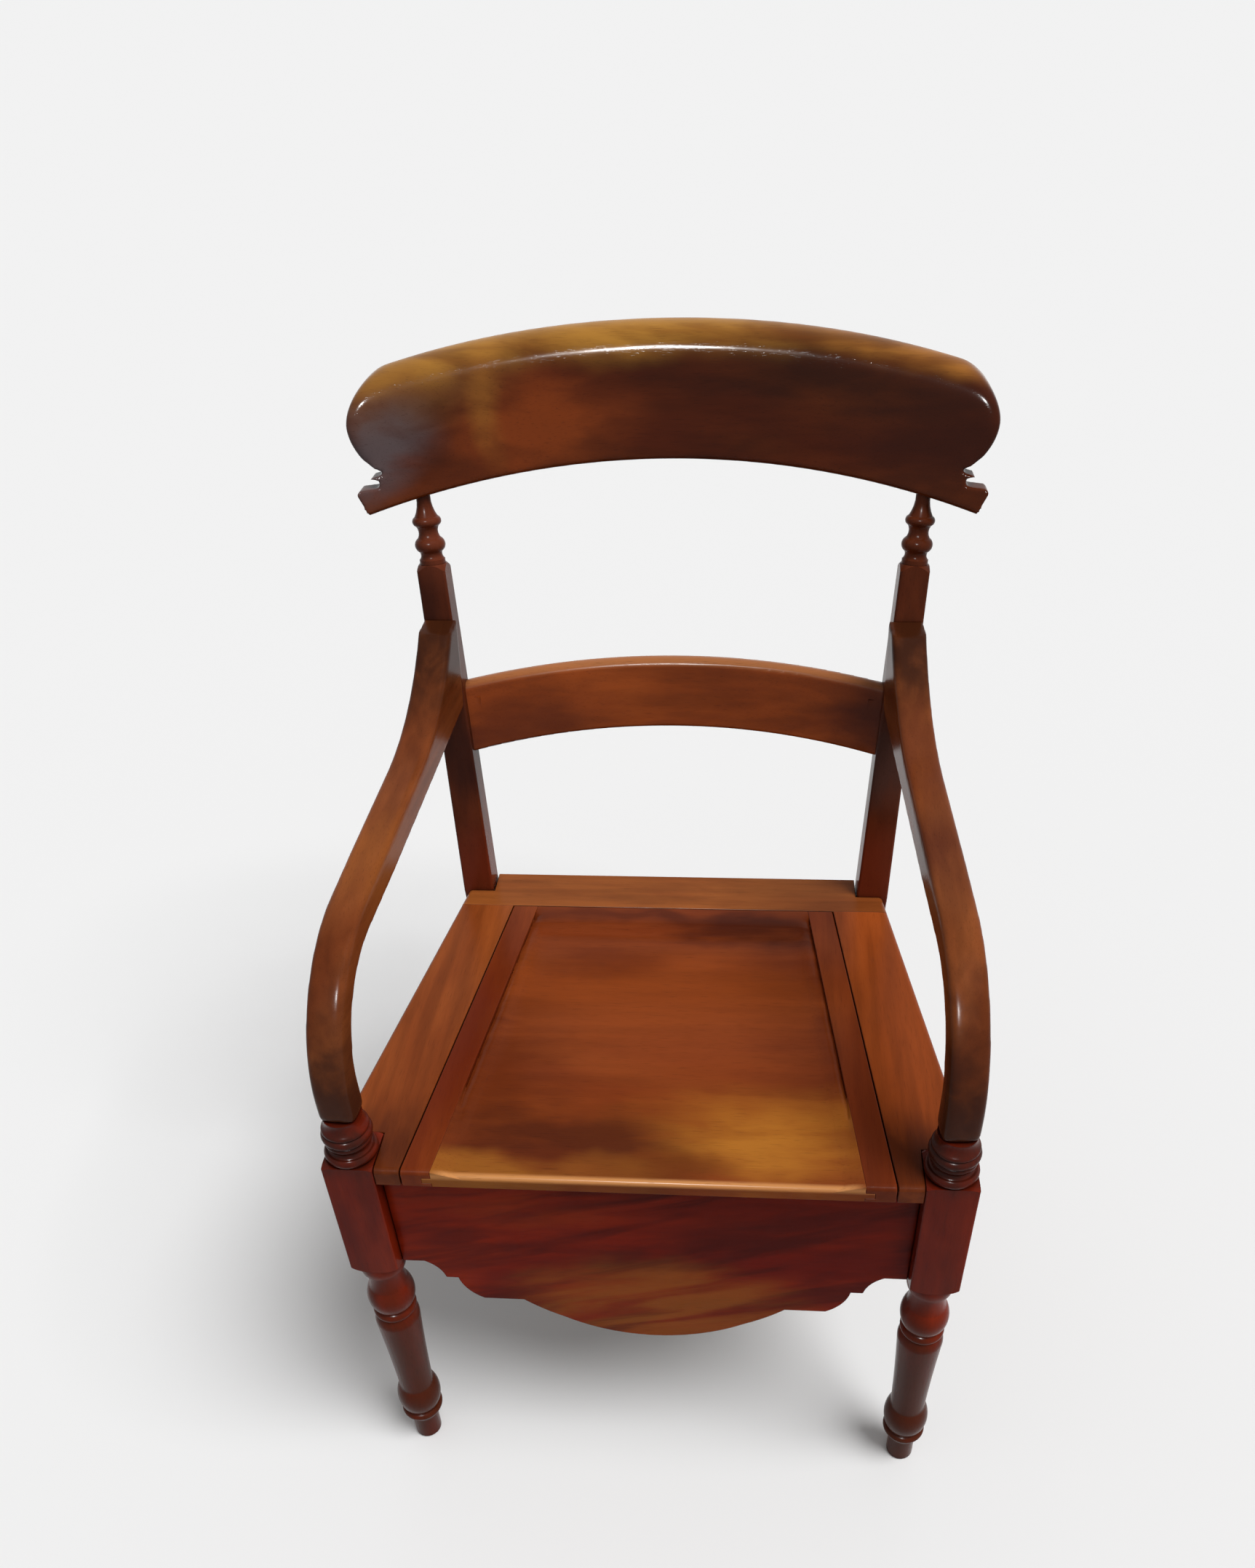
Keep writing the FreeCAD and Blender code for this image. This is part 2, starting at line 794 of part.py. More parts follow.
def dish():
    far = lid_rear - dish_rear_margin
    near = lid_front - dish_slope
    wires = []
    for z, inset in ((seat_height, 0.0), (seat_height - dish_depth, dish_slope)):
        y = far - inset
        points = [(clamp_line(near) - inset, near), (clamp_line(y) - inset, y)]
        points += [(inset - clamp_line(y), y), (inset - clamp_line(near), near)]
        corners = [vec(a, b, z) for a, b in points]
        wires.append(Part.makePolygon(corners + corners[:1]))
    return Part.makeLoft(wires, True, True)


def make_lid_panel(screw_holes):
    points = [(clamp_line(lid_front), lid_front), (clamp_line(lid_rear), lid_rear)]
    points += [(-x, y) for x, y in reversed(points)]
    panel = prism(points, board_low, seat_height).cut(dish())
    panel = nosed(panel, [vec(0, lid_front, seat_height - dish_depth)])
    for piece in both(tongue(0.0)):
        panel = panel.fuse(piece)
    return cut_all(panel.removeSplitter(), screw_holes)


def make_clamp():
    points = [(clamp_line(lid_front), lid_front), (lid_half(lid_front), lid_front)]
    points += [(lid_half(lid_rear), lid_rear), (clamp_line(lid_rear), lid_rear)]
    clamp = prism(points, board_low, seat_height)
    clamp = nosed(clamp, [vec(lid_half(lid_front) - clamp_width / 2, lid_front, seat_height)])
    return clamp.cut(tongue(glue_gap))


def make_batten():
    points = []
    for y in (batten_start, batten_start + batten_length):
        middle = clamp_line(y) - batten_inset
        points += [(middle - batten_width / 2, y), (middle + batten_width / 2, y)]
    return prism([points[0], points[1], points[3], points[2]], batten_low, board_low)


def make_pot():
    low = batten_low - pot_depth
    high = batten_low + pot_rim_height
    rim = pot_radius + pot_rim_width
    inner = pot_radius - pot_wall
    floor = low + pot_foot_height + pot_wall
    shoulder = batten_low - pot_depth / 5
    steps = [(0.0, low + pot_foot_height / 2), (pot_base_radius - 8, low + pot_foot_height / 2)]
    steps += [(pot_base_radius - 6, low), (pot_base_radius, low), (pot_base_radius, low + pot_foot_height)]
    steps.append((pot_radius, shoulder, pot_radius - 9, low + pot_depth / 3))
    steps += [(pot_radius, batten_low), (rim - 1, batten_low)]
    steps.append((rim - 1, high, rim + 2, (batten_low + high) / 2))
    steps += [(inner + 5, high), (inner, high - 5, inner + 1.5, high - 1.5), (inner, shoulder)]
    steps.append((pot_base_radius - pot_wall, floor, pot_radius - 9 - pot_wall, low + pot_depth / 3 + 2))
    steps.append((0.0, floor))
    pot = shaped(steps, lambda r, z: vec(r, 0, z)).revolve(vec(), vec(0, 0, 1), 360)
    pot.translate(vec(0, pot_middle, 0))
    return pot


def make_pot_board():
    near = apron_back + pot_board_gap
    far = back_rail_front - pot_board_gap
    points = [(pot_board_front_half, near), (pot_board_rear_half, far)]
    points += [(-x, y) for x, y in reversed(points)]
    board = prism(points, pot_board_low, batten_low)
    hole = Part.makeCylinder(pot_radius + pot_gap, 2 * pot_board_thickness,
                             vec(0, pot_middle, pot_board_low - pot_board_thickness / 2))
    return board.cut(hole)


def make_side_ledger():
    near = block_rear + ledger_inset
    far = seat_depth - ledger_inset
    points = [(rail_inner(near), near), (rail_inner(far), far)]
    points += [(rail_inner(far) - ledger_width, far), (rail_inner(near) - ledger_width, near)]
    return prism(points, ledger_low, pot_board_low)


def make_braces():
    high = ledger_low - brace_drop
    low = high - brace_height
    near = apron_back + brace_reach
    side = near - brace_width / 2
    start = rail_inner(near) - brace_reach
    front = [(start - brace_width, apron_back), (start, apron_back)]
    front += [(rail_inner(side), side), (rail_inner(near + brace_width), near + brace_width)]
    far = back_rail_front - brace_reach
    side = far + brace_width / 3
    start = rail_inner(far) - 0.6 * brace_reach
    back = [(start - brace_width, back_rail_front), (start, back_rail_front)]
    back += [(rail_inner(side), side), (rail_inner(far - brace_width), far - brace_width)]
    return both(prism(front, low, high)) + both(prism(back, low, high))


# Tenons and the mortises that they share with their neighbours
tenon_mid = (rail_low + board_low) / 2


def upright_tenon(x, y0, y1, gap):
    half = tenon_thickness / 2 + gap
    tall = tenon_height / 2 + gap
    return box(x - half, x + half, y0, y1, tenon_mid - tall, tenon_mid + tall)


def rail_tenons(gap):
    half = rail_thickness / 2
    front = upright_tenon(rail_outer(block_rear) - half, block_rear - tenon_length - gap, block_rear + 2, gap)
    rear = upright_tenon(rail_outer(seat_depth) - half, seat_depth - 2, seat_depth + tenon_length + gap, gap)
    return [front, rear]


def apron_tenon(gap):
    half = tenon_thickness / 2 + gap
    middle = apron_front + apron_thickness / 2
    tall = tenon_height / 2 + gap
    level = board_low - apron_end_drop / 2
    return box(block_inner - 2, block_inner + tenon_length + gap, middle - half, middle + half,
               level - tall, level + tall)


def back_rail_tenon(gap):
    half = tenon_thickness / 2 + gap
    middle = back_rail_front + back_rail_thickness / 2
    tall = tenon_height / 2 + gap
    edge = back_spread / 2 - post_width / 2 - math.tan(splay) * (seat_height - tenon_mid)
    return box(edge - 12, edge + tenon_length / 2 + gap, middle - half, middle + half,
               tenon_mid - tall, tenon_mid + tall)


mid_end = post_point(mid_rail_rise * math.tan(rake) + post_depth / 2, mid_rail_rise)


def mid_rail_tenon(gap):
    half = mid_tenon_thickness / 2 + gap
    tall = mid_tenon_height / 2 + gap
    edge = mid_end.x - post_width / 2
    middle = mid_end.y + 5.0
    return box(edge - 10, edge + mid_tenon_length + gap, middle - half, middle + half,
               mid_end.z - tall, mid_end.z + tall)


def neck_hole():
    start = post_point(square_mid + neck_aim.y * (neck_length - neck_straight),
                       square_rise + neck_aim.z * (neck_length - neck_straight))
    turn = FreeCAD.Rotation(vec(0, 1, 0), splay_angle)
    aim = turn.multVec(neck_aim)
    return Part.makeCylinder(neck_top_radius + glue_gap, neck_straight + neck_tenon + glue_gap, start, aim)


def spigot_hole():
    start = vec(post_x, 0, collar_top - glue_gap)
    return Part.makeCylinder(spigot_radius + glue_gap, spigot_length + 2 * glue_gap, start)


# Screws: each is (start, direction, length)
def arm_screw_spot():
    level = arm_outline()[1][1] - arm_screw_drop - seat_height
    depth = post_depth - (post_depth - post_top_depth) * level / square_rise
    turn = FreeCAD.Rotation(vec(0, 1, 0), splay_angle)
    aim = turn.multVec(vec(0, -math.cos(rake), math.sin(rake)))
    rear = post_point(level * math.tan(rake) + depth, level)
    return rear, aim


def ledger_screw_spots():
    level = (ledger_low + pot_board_low) / 2
    turn = math.radians(seat_flare)
    aim = vec(math.cos(turn), math.sin(turn), 0)
    spots = []
    for index in range(side_screws):
        share = (index + 0.5) / side_screws
        y = block_rear + ledger_inset + share * (seat_depth - block_rear - 2 * ledger_inset)
        start = vec(rail_inner(y) - ledger_width, y, level)
        spots.append((start, aim))
        spots.append((vec(-start.x, y, level), vec(-aim.x, aim.y, 0)))
    for side in (-1, 1):
        x = side * 0.6 * front_ledger_half
        spots.append((vec(x, apron_back + ledger_width, level), vec(0, -1, 0)))
        x = side * 0.6 * back_ledger_half
        spots.append((vec(x, back_rail_front - ledger_width, level), vec(0, 1, 0)))
    return spots


def batten_screw_spots():
    spots = []
    for index in range(batten_screw_count):
        y = batten_start + (index + 0.5) / batten_screw_count * batten_length
        for side in (-1, 1):
            spots.append((vec(side * (clamp_line(y) - batten_inset), y, batten_low), vec(0, 0, 1)))
    return spots


def driven(spots, length, gap=0.0):
    return [aimed(screw(length, gap), start, aim) for start, aim in spots]


ledger_length = ledger_width + screw_bite
batten_length_screw = batten_thickness + screw_bite - 2.0
arm_spot, arm_aim = arm_screw_spot()
arm_head = arm_spot + arm_aim * plug_length
arm_screw = aimed(screw(arm_screw_length), arm_head, arm_aim)
arm_screw_hole = aimed(screw(arm_screw_length, screw_gap), arm_head, arm_aim)
plug = Part.makeCylinder(plug_radius, plug_length - glue_gap, arm_spot, arm_aim)
plug_hole = Part.makeCylinder(plug_radius + glue_gap, plug_length + 2, arm_spot - arm_aim * 2, arm_aim)
ledger_holes = driven(ledger_screw_spots(), ledger_length, screw_gap)
batten_holes = driven(batten_screw_spots(), batten_length_screw, screw_gap)

bare_post = make_post()
right_post = cut_all(bare_post, [rail_tenons(glue_gap)[1], back_rail_tenon(glue_gap)])
right_post = cut_all(right_post, [mid_rail_tenon(glue_gap), arm_screw_hole, plug_hole])
right_leg = make_leg([rail_tenons(glue_gap)[0], apron_tenon(glue_gap)])
right_arm = make_arm([spigot_hole(), arm_screw_hole])
side_rail = cut_all(make_side_rail(rail_tenons(0.0)), ledger_holes)
side_ledger = cut_all(make_side_ledger(), ledger_holes)
side_board = make_side_board()
clamp = make_clamp()
mid_rail = make_mid_rail(mid_end, mid_rail_tenon(0.0))

apron = cut_all(make_apron(apron_tenon(0.0)), ledger_holes)
back_rail = box(-back_spread / 2, back_spread / 2, back_rail_front, back_rail_front + back_rail_thickness,
                rail_low, board_low)
back_rail = cut_all(back_rail, both(bare_post))
back_rail = max(back_rail.Solids, key=lambda solid: solid.Volume)
for piece in both(back_rail_tenon(0.0)):
    back_rail = back_rail.fuse(piece)
back_rail = cut_all(back_rail.removeSplitter(), ledger_holes)
front_ledger = box(-front_ledger_half, front_ledger_half, apron_back, apron_back + ledger_width,
                   ledger_low, pot_board_low)
back_ledger = box(-back_ledger_half, back_ledger_half, back_rail_front - ledger_width, back_rail_front,
                  ledger_low, pot_board_low)
batten = cut_all(make_batten(), batten_holes)

pieces = {
    "crest_rail": make_crest(both(neck_hole())),
    "mid_rail": mid_rail,
    "right_back_post": right_post,
    "left_back_post": mirrored(right_post),
    "right_arm": right_arm,
    "left_arm": mirrored(right_arm),
    "right_front_leg": right_leg,
    "left_front_leg": mirrored(right_leg),
    "front_apron": apron,
    "right_side_rail": side_rail,
    "left_side_rail": mirrored(side_rail),
    "back_seat_rail": back_rail,
    "right_seat_board": side_board,
    "left_seat_board": mirrored(side_board),
    "back_seat_board": make_back_board(),
    "lid_panel": make_lid_panel(batten_holes),
    "right_lid_clamp": clamp,
    "left_lid_clamp": mirrored(clamp),
    "lid_battens": Part.makeCompound(both(batten)),
    "batten_screws": Part.makeCompound(driven(batten_screw_spots(), batten_length_screw)),
    "pot_board": make_pot_board(),
    "right_ledger": side_ledger,
    "left_ledger": mirrored(side_ledger),
    "front_ledger": cut_all(front_ledger, ledger_holes),
    "back_ledger": cut_all(back_ledger, ledger_holes),
    "ledger_screws": Part.makeCompound(driven(ledger_screw_spots(), ledger_length)),
    "corner_braces": Part.makeCompound(make_braces()),
    "arm_screws": Part.makeCompound(both(arm_screw)),
    "arm_plugs": Part.makeCompound(both(plug)),
    "chamber_pot": make_pot(),
}

# The shared frame has its origin at the middle of the footprint, on the floor
whole = FreeCAD.BoundBox()
for shape in pieces.values():
    whole.add(shape.optimalBoundingBox(False))
shift = vec(0, -whole.Center.y, -whole.ZMin)

os.makedirs("parts", exist_ok=True)
for name, shape in pieces.items():
    solids = [solid.copy() for solid in shape.Solids]
    for solid in solids:
        solid.translate(shift)
    result = solids[0] if len(solids) == 1 else Part.makeCompound(solids)
    result.exportStep("parts/" + name + ".step")
    print(name, len(solids), result.isValid(), round(result.Volume), result.optimalBoundingBox(False))
print("shift", shift)
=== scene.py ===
import bpy
import bmesh
import math
from mathutils import Matrix, Vector
from mathutils.bvhtree import BVHTree


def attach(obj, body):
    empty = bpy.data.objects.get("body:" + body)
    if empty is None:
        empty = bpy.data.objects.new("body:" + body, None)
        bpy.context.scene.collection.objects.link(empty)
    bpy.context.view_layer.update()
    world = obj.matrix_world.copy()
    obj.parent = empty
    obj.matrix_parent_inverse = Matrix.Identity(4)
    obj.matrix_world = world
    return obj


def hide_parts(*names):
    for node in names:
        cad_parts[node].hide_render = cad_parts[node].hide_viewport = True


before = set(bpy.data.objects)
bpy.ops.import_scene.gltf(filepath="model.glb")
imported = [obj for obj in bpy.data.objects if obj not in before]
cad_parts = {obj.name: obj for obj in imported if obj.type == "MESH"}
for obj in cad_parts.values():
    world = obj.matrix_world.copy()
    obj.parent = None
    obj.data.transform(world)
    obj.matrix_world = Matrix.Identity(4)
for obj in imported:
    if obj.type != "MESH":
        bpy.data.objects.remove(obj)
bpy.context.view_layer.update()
scene = bpy.context.scene
scene.view_settings.view_transform = "Standard"
print("frame loaded:", len(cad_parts), "nodes")

# Colours are written as on a paint card and turned into light values by the sRGB curve
paintCurve = {"toe": 0.04045, "slope": 12.92, "offset": 0.055, "power": 2.4}


def tone(card):
    values = []
    for start in (1, 3, 5):
        share = int(card[start:start + 2], 16) / 255
        if share <= paintCurve["toe"]:
            values.append(share / paintCurve["slope"])
        else:
            lifted = (share + paintCurve["offset"]) / (1 + paintCurve["offset"])
            values.append(lifted ** paintCurve["power"])
    return (*values, 1.0)


# Camera at the photograph's place: turned, tipped and rolled by these angles
cameraView = {
    "place": (0.07697, -0.92586, 1.20669),
    "yaw": 0.0850321,
    "pitch": -0.6908243,
    "roll": 0.0322512,
    "lens": 28.048,
    "sensor": 36.0,
    "shift": (-0.02363, 0.11248),
    "farthest": 500.0,
}


def makeCamera(view):
    data = bpy.data.cameras.new("chairCamera")
    data.sensor_width = view["sensor"]
    data.lens = view["lens"]
    data.shift_x, data.shift_y = view["shift"]
    data.clip_end = view["farthest"]
    camera = bpy.data.objects.new("chairCamera", data)
    scene.collection.objects.link(camera)
    turn = Matrix.Rotation(view["yaw"], 3, "Z") @ Matrix.Rotation(view["pitch"], 3, "X")
    turn = turn @ Matrix.Rotation(view["roll"], 3, "Y")
    lookAlong = Matrix(((1, 0, 0), (0, 0, -1), (0, 1, 0)))
    camera.matrix_world = Matrix.Translation(view["place"]) @ (turn @ lookAlong).to_4x4()
    scene.camera = camera


makeCamera(cameraView)
print("camera set")


# Node trees: a short kind is a shader node
def put(tree, kind, inputs=None, **settings):
    node = tree.nodes.new(kind if "Node" in kind else "ShaderNode" + kind)
    for key, value in settings.items():
        setattr(node, key, value)
    for key, value in (inputs or {}).items():
        if isinstance(value, bpy.types.NodeSocket):
            tree.links.new(value, node.inputs[key])
        else:
            node.inputs[key].default_value = value
    return node


def blendColour(tree, amount, under, over, mode="MIX"):
    node = put(tree, "Mix", {0: amount, 6: under, 7: over}, data_type="RGBA", blend_type=mode)
    return node.outputs[2]


def spread(tree, value, low, high, toLow=0.0, toHigh=1.0):
    inputs = {"Value": value, "From Min": low, "From Max": high, "To Min": toLow, "To Max": toHigh}
    return put(tree, "MapRange", inputs, interpolation_type="SMOOTHSTEP").outputs["Result"]


def maths(tree, operation, first, second):
    return put(tree, "Math", {0: first, 1: second}, operation=operation).outputs["Value"]


def vectorMaths(tree, operation, inputs):
    return put(tree, "VectorMath", inputs, operation=operation).outputs[0]


def laid(tree, vector, **change):
    inputs = {"Vector": vector, **change}
    return put(tree, "Mapping", inputs, vector_type="TEXTURE").outputs["Vector"]


def noise(tree, vector, scale, detail, twist=0.0):
    inputs = {"Vector": vector, "Scale": scale, "Detail": detail, "Distortion": twist}
    return put(tree, "TexNoise", inputs).outputs


def cornerShade(tree, reach, samples=6):
    return put(tree, "AmbientOcclusion", {"Distance": reach}, samples=samples).outputs["AO"]


def addBump(tree, shader, height, strength, depth, invert=False):
    inputs = {"Height": height, "Strength": strength, "Distance": depth}
    bump = put(tree, "Bump", inputs, invert=invert)
    tree.links.new(bump.outputs["Normal"], shader.inputs["Normal"])


def newMaterial(name):
    material = bpy.data.materials.new(name)
    material.use_nodes = True
    return material, material.node_tree, material.node_tree.nodes["Principled BSDF"]


# What all woods share: each noise's stretch along the grain, its detail and twist,
# and the ends of its spread
grain = {
    "drift": {"stretch": 3.0, "detail": 4.0, "twist": 0.5, "ends": (0.32, 0.68)},
    "ribbon": {"stretch": 14.0, "detail": 4.0, "twist": 0.2, "ends": (0.3, 0.7), "lift": 0.7},
    "flame": {"detail": 3.0, "twist": 0.7, "ends": (0.45, 0.66)},
    "fray": {"detail": 4.0, "twist": 0.4, "ends": (0.25, 0.75)},
    "wander": {"detail": 2.0, "middle": (0.5, 0.5, 0.5)},
    "patchBlend": {"ends": (0.0, 0.85)},
    "pores": {"stretch": 26.0, "scale": 1500.0, "detail": 2.0, "twist": 0.0, "ends": (0.57, 0.74)},
    "corner": {"ends": (0.25, 0.85)},
    "rub": {"stretch": 2.5, "scale": 24.0, "detail": 4.0, "twist": 0.0, "ends": (0.3, 0.7),
            "smoother": 0.02, "rougher": 0.03},
    "wave": {"stretch": 2.0, "scale": 30.0, "detail": 1.0, "twist": 0.0},
    "relief": {"wave": 1.4, "pores": 0.1, "strength": 0.3, "depth": 0.0006},
}


# Polished wood: the grain runs along the turned X axis.
# Patches (wood tones, and some painted light, shade and reflections) and painted highlights are
# (centre, size, colour, amount), and only patches wander and fray.
def woodFinish(name, wood):
    material, tree, shader = newMaterial(name)
    place = put(tree, "TexCoord").outputs["Object"]
    turn = [math.radians(angle) for angle in wood["turn"]]
    lay = laid(tree, place, Location=wood["shift"], Rotation=turn)

    def cloud(kind, scale=None, stretch=None, angle=0.0):
        look = grain[kind]
        along = laid(tree, lay, Rotation=(0.0, 0.0, math.radians(angle)),
                     Scale=(stretch or look["stretch"], 1.0, 1.0))
        return noise(tree, along, scale or look["scale"], look["detail"], look["twist"])["Fac"]

    def share(kind, value, toLow=0.0, toHigh=1.0):
        return spread(tree, value, *grain[kind]["ends"], toLow, toHigh)

    def times(first, second):
        return maths(tree, "MULTIPLY", first, second)

    drift = cloud("drift", wood["driftScale"])
    colour = blendColour(tree, share("drift", drift), wood["dark"], wood["light"])
    ribbon = cloud("ribbon", wood["ribbonScale"])
    brightest = 1.0 + wood["ribbon"] * grain["ribbon"]["lift"]
    shade = share("ribbon", ribbon, 1.0 - wood["ribbon"], brightest)
    grey = put(tree, "CombineColor", {"Red": shade, "Green": shade, "Blue": shade}).outputs["Color"]
    colour = blendColour(tree, 1.0, colour, grey, "MULTIPLY")

    # flame figure: soft bands at an angle to the grain
    flame = cloud("flame", wood["figureScale"], wood["figureStretch"], wood["figureAngle"])
    flameShare = times(share("flame", flame), wood["figure"])
    colour = blendColour(tree, flameShare, colour, wood["figureColour"])

    # patches wander, their rims fray along the figure, and an arch lets them follow a bowed rail
    wander = noise(tree, place, wood["wanderScale"], grain["wander"]["detail"])["Color"]
    shifted = vectorMaths(tree, "SUBTRACT", {0: wander, 1: grain["wander"]["middle"]})
    shifted = vectorMaths(tree, "SCALE", {0: shifted, "Scale": wood["wander"]})
    across = put(tree, "SeparateXYZ", {0: place}).outputs["X"]
    raised = put(tree, "CombineXYZ", {"Z": times(times(across, across), wood["arch"])}).outputs[0]
    arched = vectorMaths(tree, "ADD", {0: place, 1: raised})
    moved = vectorMaths(tree, "ADD", {0: arched, 1: shifted})
    fray = cloud("fray", wood["frayScale"], wood["frayStretch"], wood["figureAngle"])
    frayShare = share("fray", fray, 1.0 - wood["fray"], 1.0 + wood["fray"])

    def patchBlend(under, spot, edge, patch):
        centre, size, patchColour, amount = patch
        local = laid(tree, spot, Location=centre, Scale=size)
        ball = put(tree, "TexGradient", {"Vector": local}, gradient_type="SPHERICAL").outputs["Fac"]
        cover = times(share("patchBlend", times(ball, edge)), amount)
        return blendColour(tree, cover, under, patchColour)

    for patch in wood["patches"]:
        colour = patchBlend(colour, moved, frayShare, patch)
    # painted highlights along rounded edges, laid without wander or fray
    for highlight in wood["paintedHighlights"]:
        colour = patchBlend(colour, arched, 1.0, highlight)

    # open pores: short dark dashes along the grain
    poreMark = share("pores", cloud("pores"))
    colour = blendColour(tree, times(poreMark, wood["pores"]), colour, wood["poreColour"])

    # painted shade darkens the corners and recesses, together with old polish and dust
    cornerShadeMark = share("corner", cornerShade(tree, wood["cornerReach"]), wood["corner"], 0.0)
    colour = blendColour(tree, cornerShadeMark, colour, wood["cornerShadeColour"])
    tree.links.new(colour, shader.inputs["Base Color"])

    rub = grain["rub"]
    smoothest, roughest = wood["rough"] - rub["smoother"], wood["rough"] + rub["rougher"]
    gloss = share("rub", cloud("rub"), smoothest, roughest)
    tree.links.new(gloss, shader.inputs["Roughness"])
    shader.inputs["Specular IOR Level"].default_value = wood["shine"]
    relief = grain["relief"]
    hills = times(cloud("wave"), relief["wave"])
    rise = maths(tree, "SUBTRACT", hills, times(poreMark, relief["pores"]))
    addBump(tree, shader, rise, relief["strength"], relief["depth"])
    return material


def bothSides(centre, size, colour, amount):
    x, y, z = centre
    return [((-x, y, z), size, colour, amount), ((x, y, z), size, colour, amount)]


baseWood = {
    "turn": (0, 0, 0), "shift": (0.0, 0.0, 0.0),
    "dark": tone("#5a220e"), "light": tone("#93471c"), "driftScale": 12.0,
    "ribbon": 0.16, "ribbonScale": 90.0,
    "figure": 0.3, "figureAngle": 0, "figureScale": 26.0, "figureStretch": 4.0,
    "figureColour": tone("#401507"),
    "patches": [], "paintedHighlights": [], "wander": 0.04, "wanderScale": 11.0, "arch": 0.0,
    "fray": 0.35, "frayScale": 45.0, "frayStretch": 4.0,
    "pores": 0.3, "poreColour": tone("#240b04"),
    "corner": 0.75, "cornerReach": 0.01, "cornerShadeColour": tone("#140502"),
    "rough": 0.21, "shine": 0.06,
}

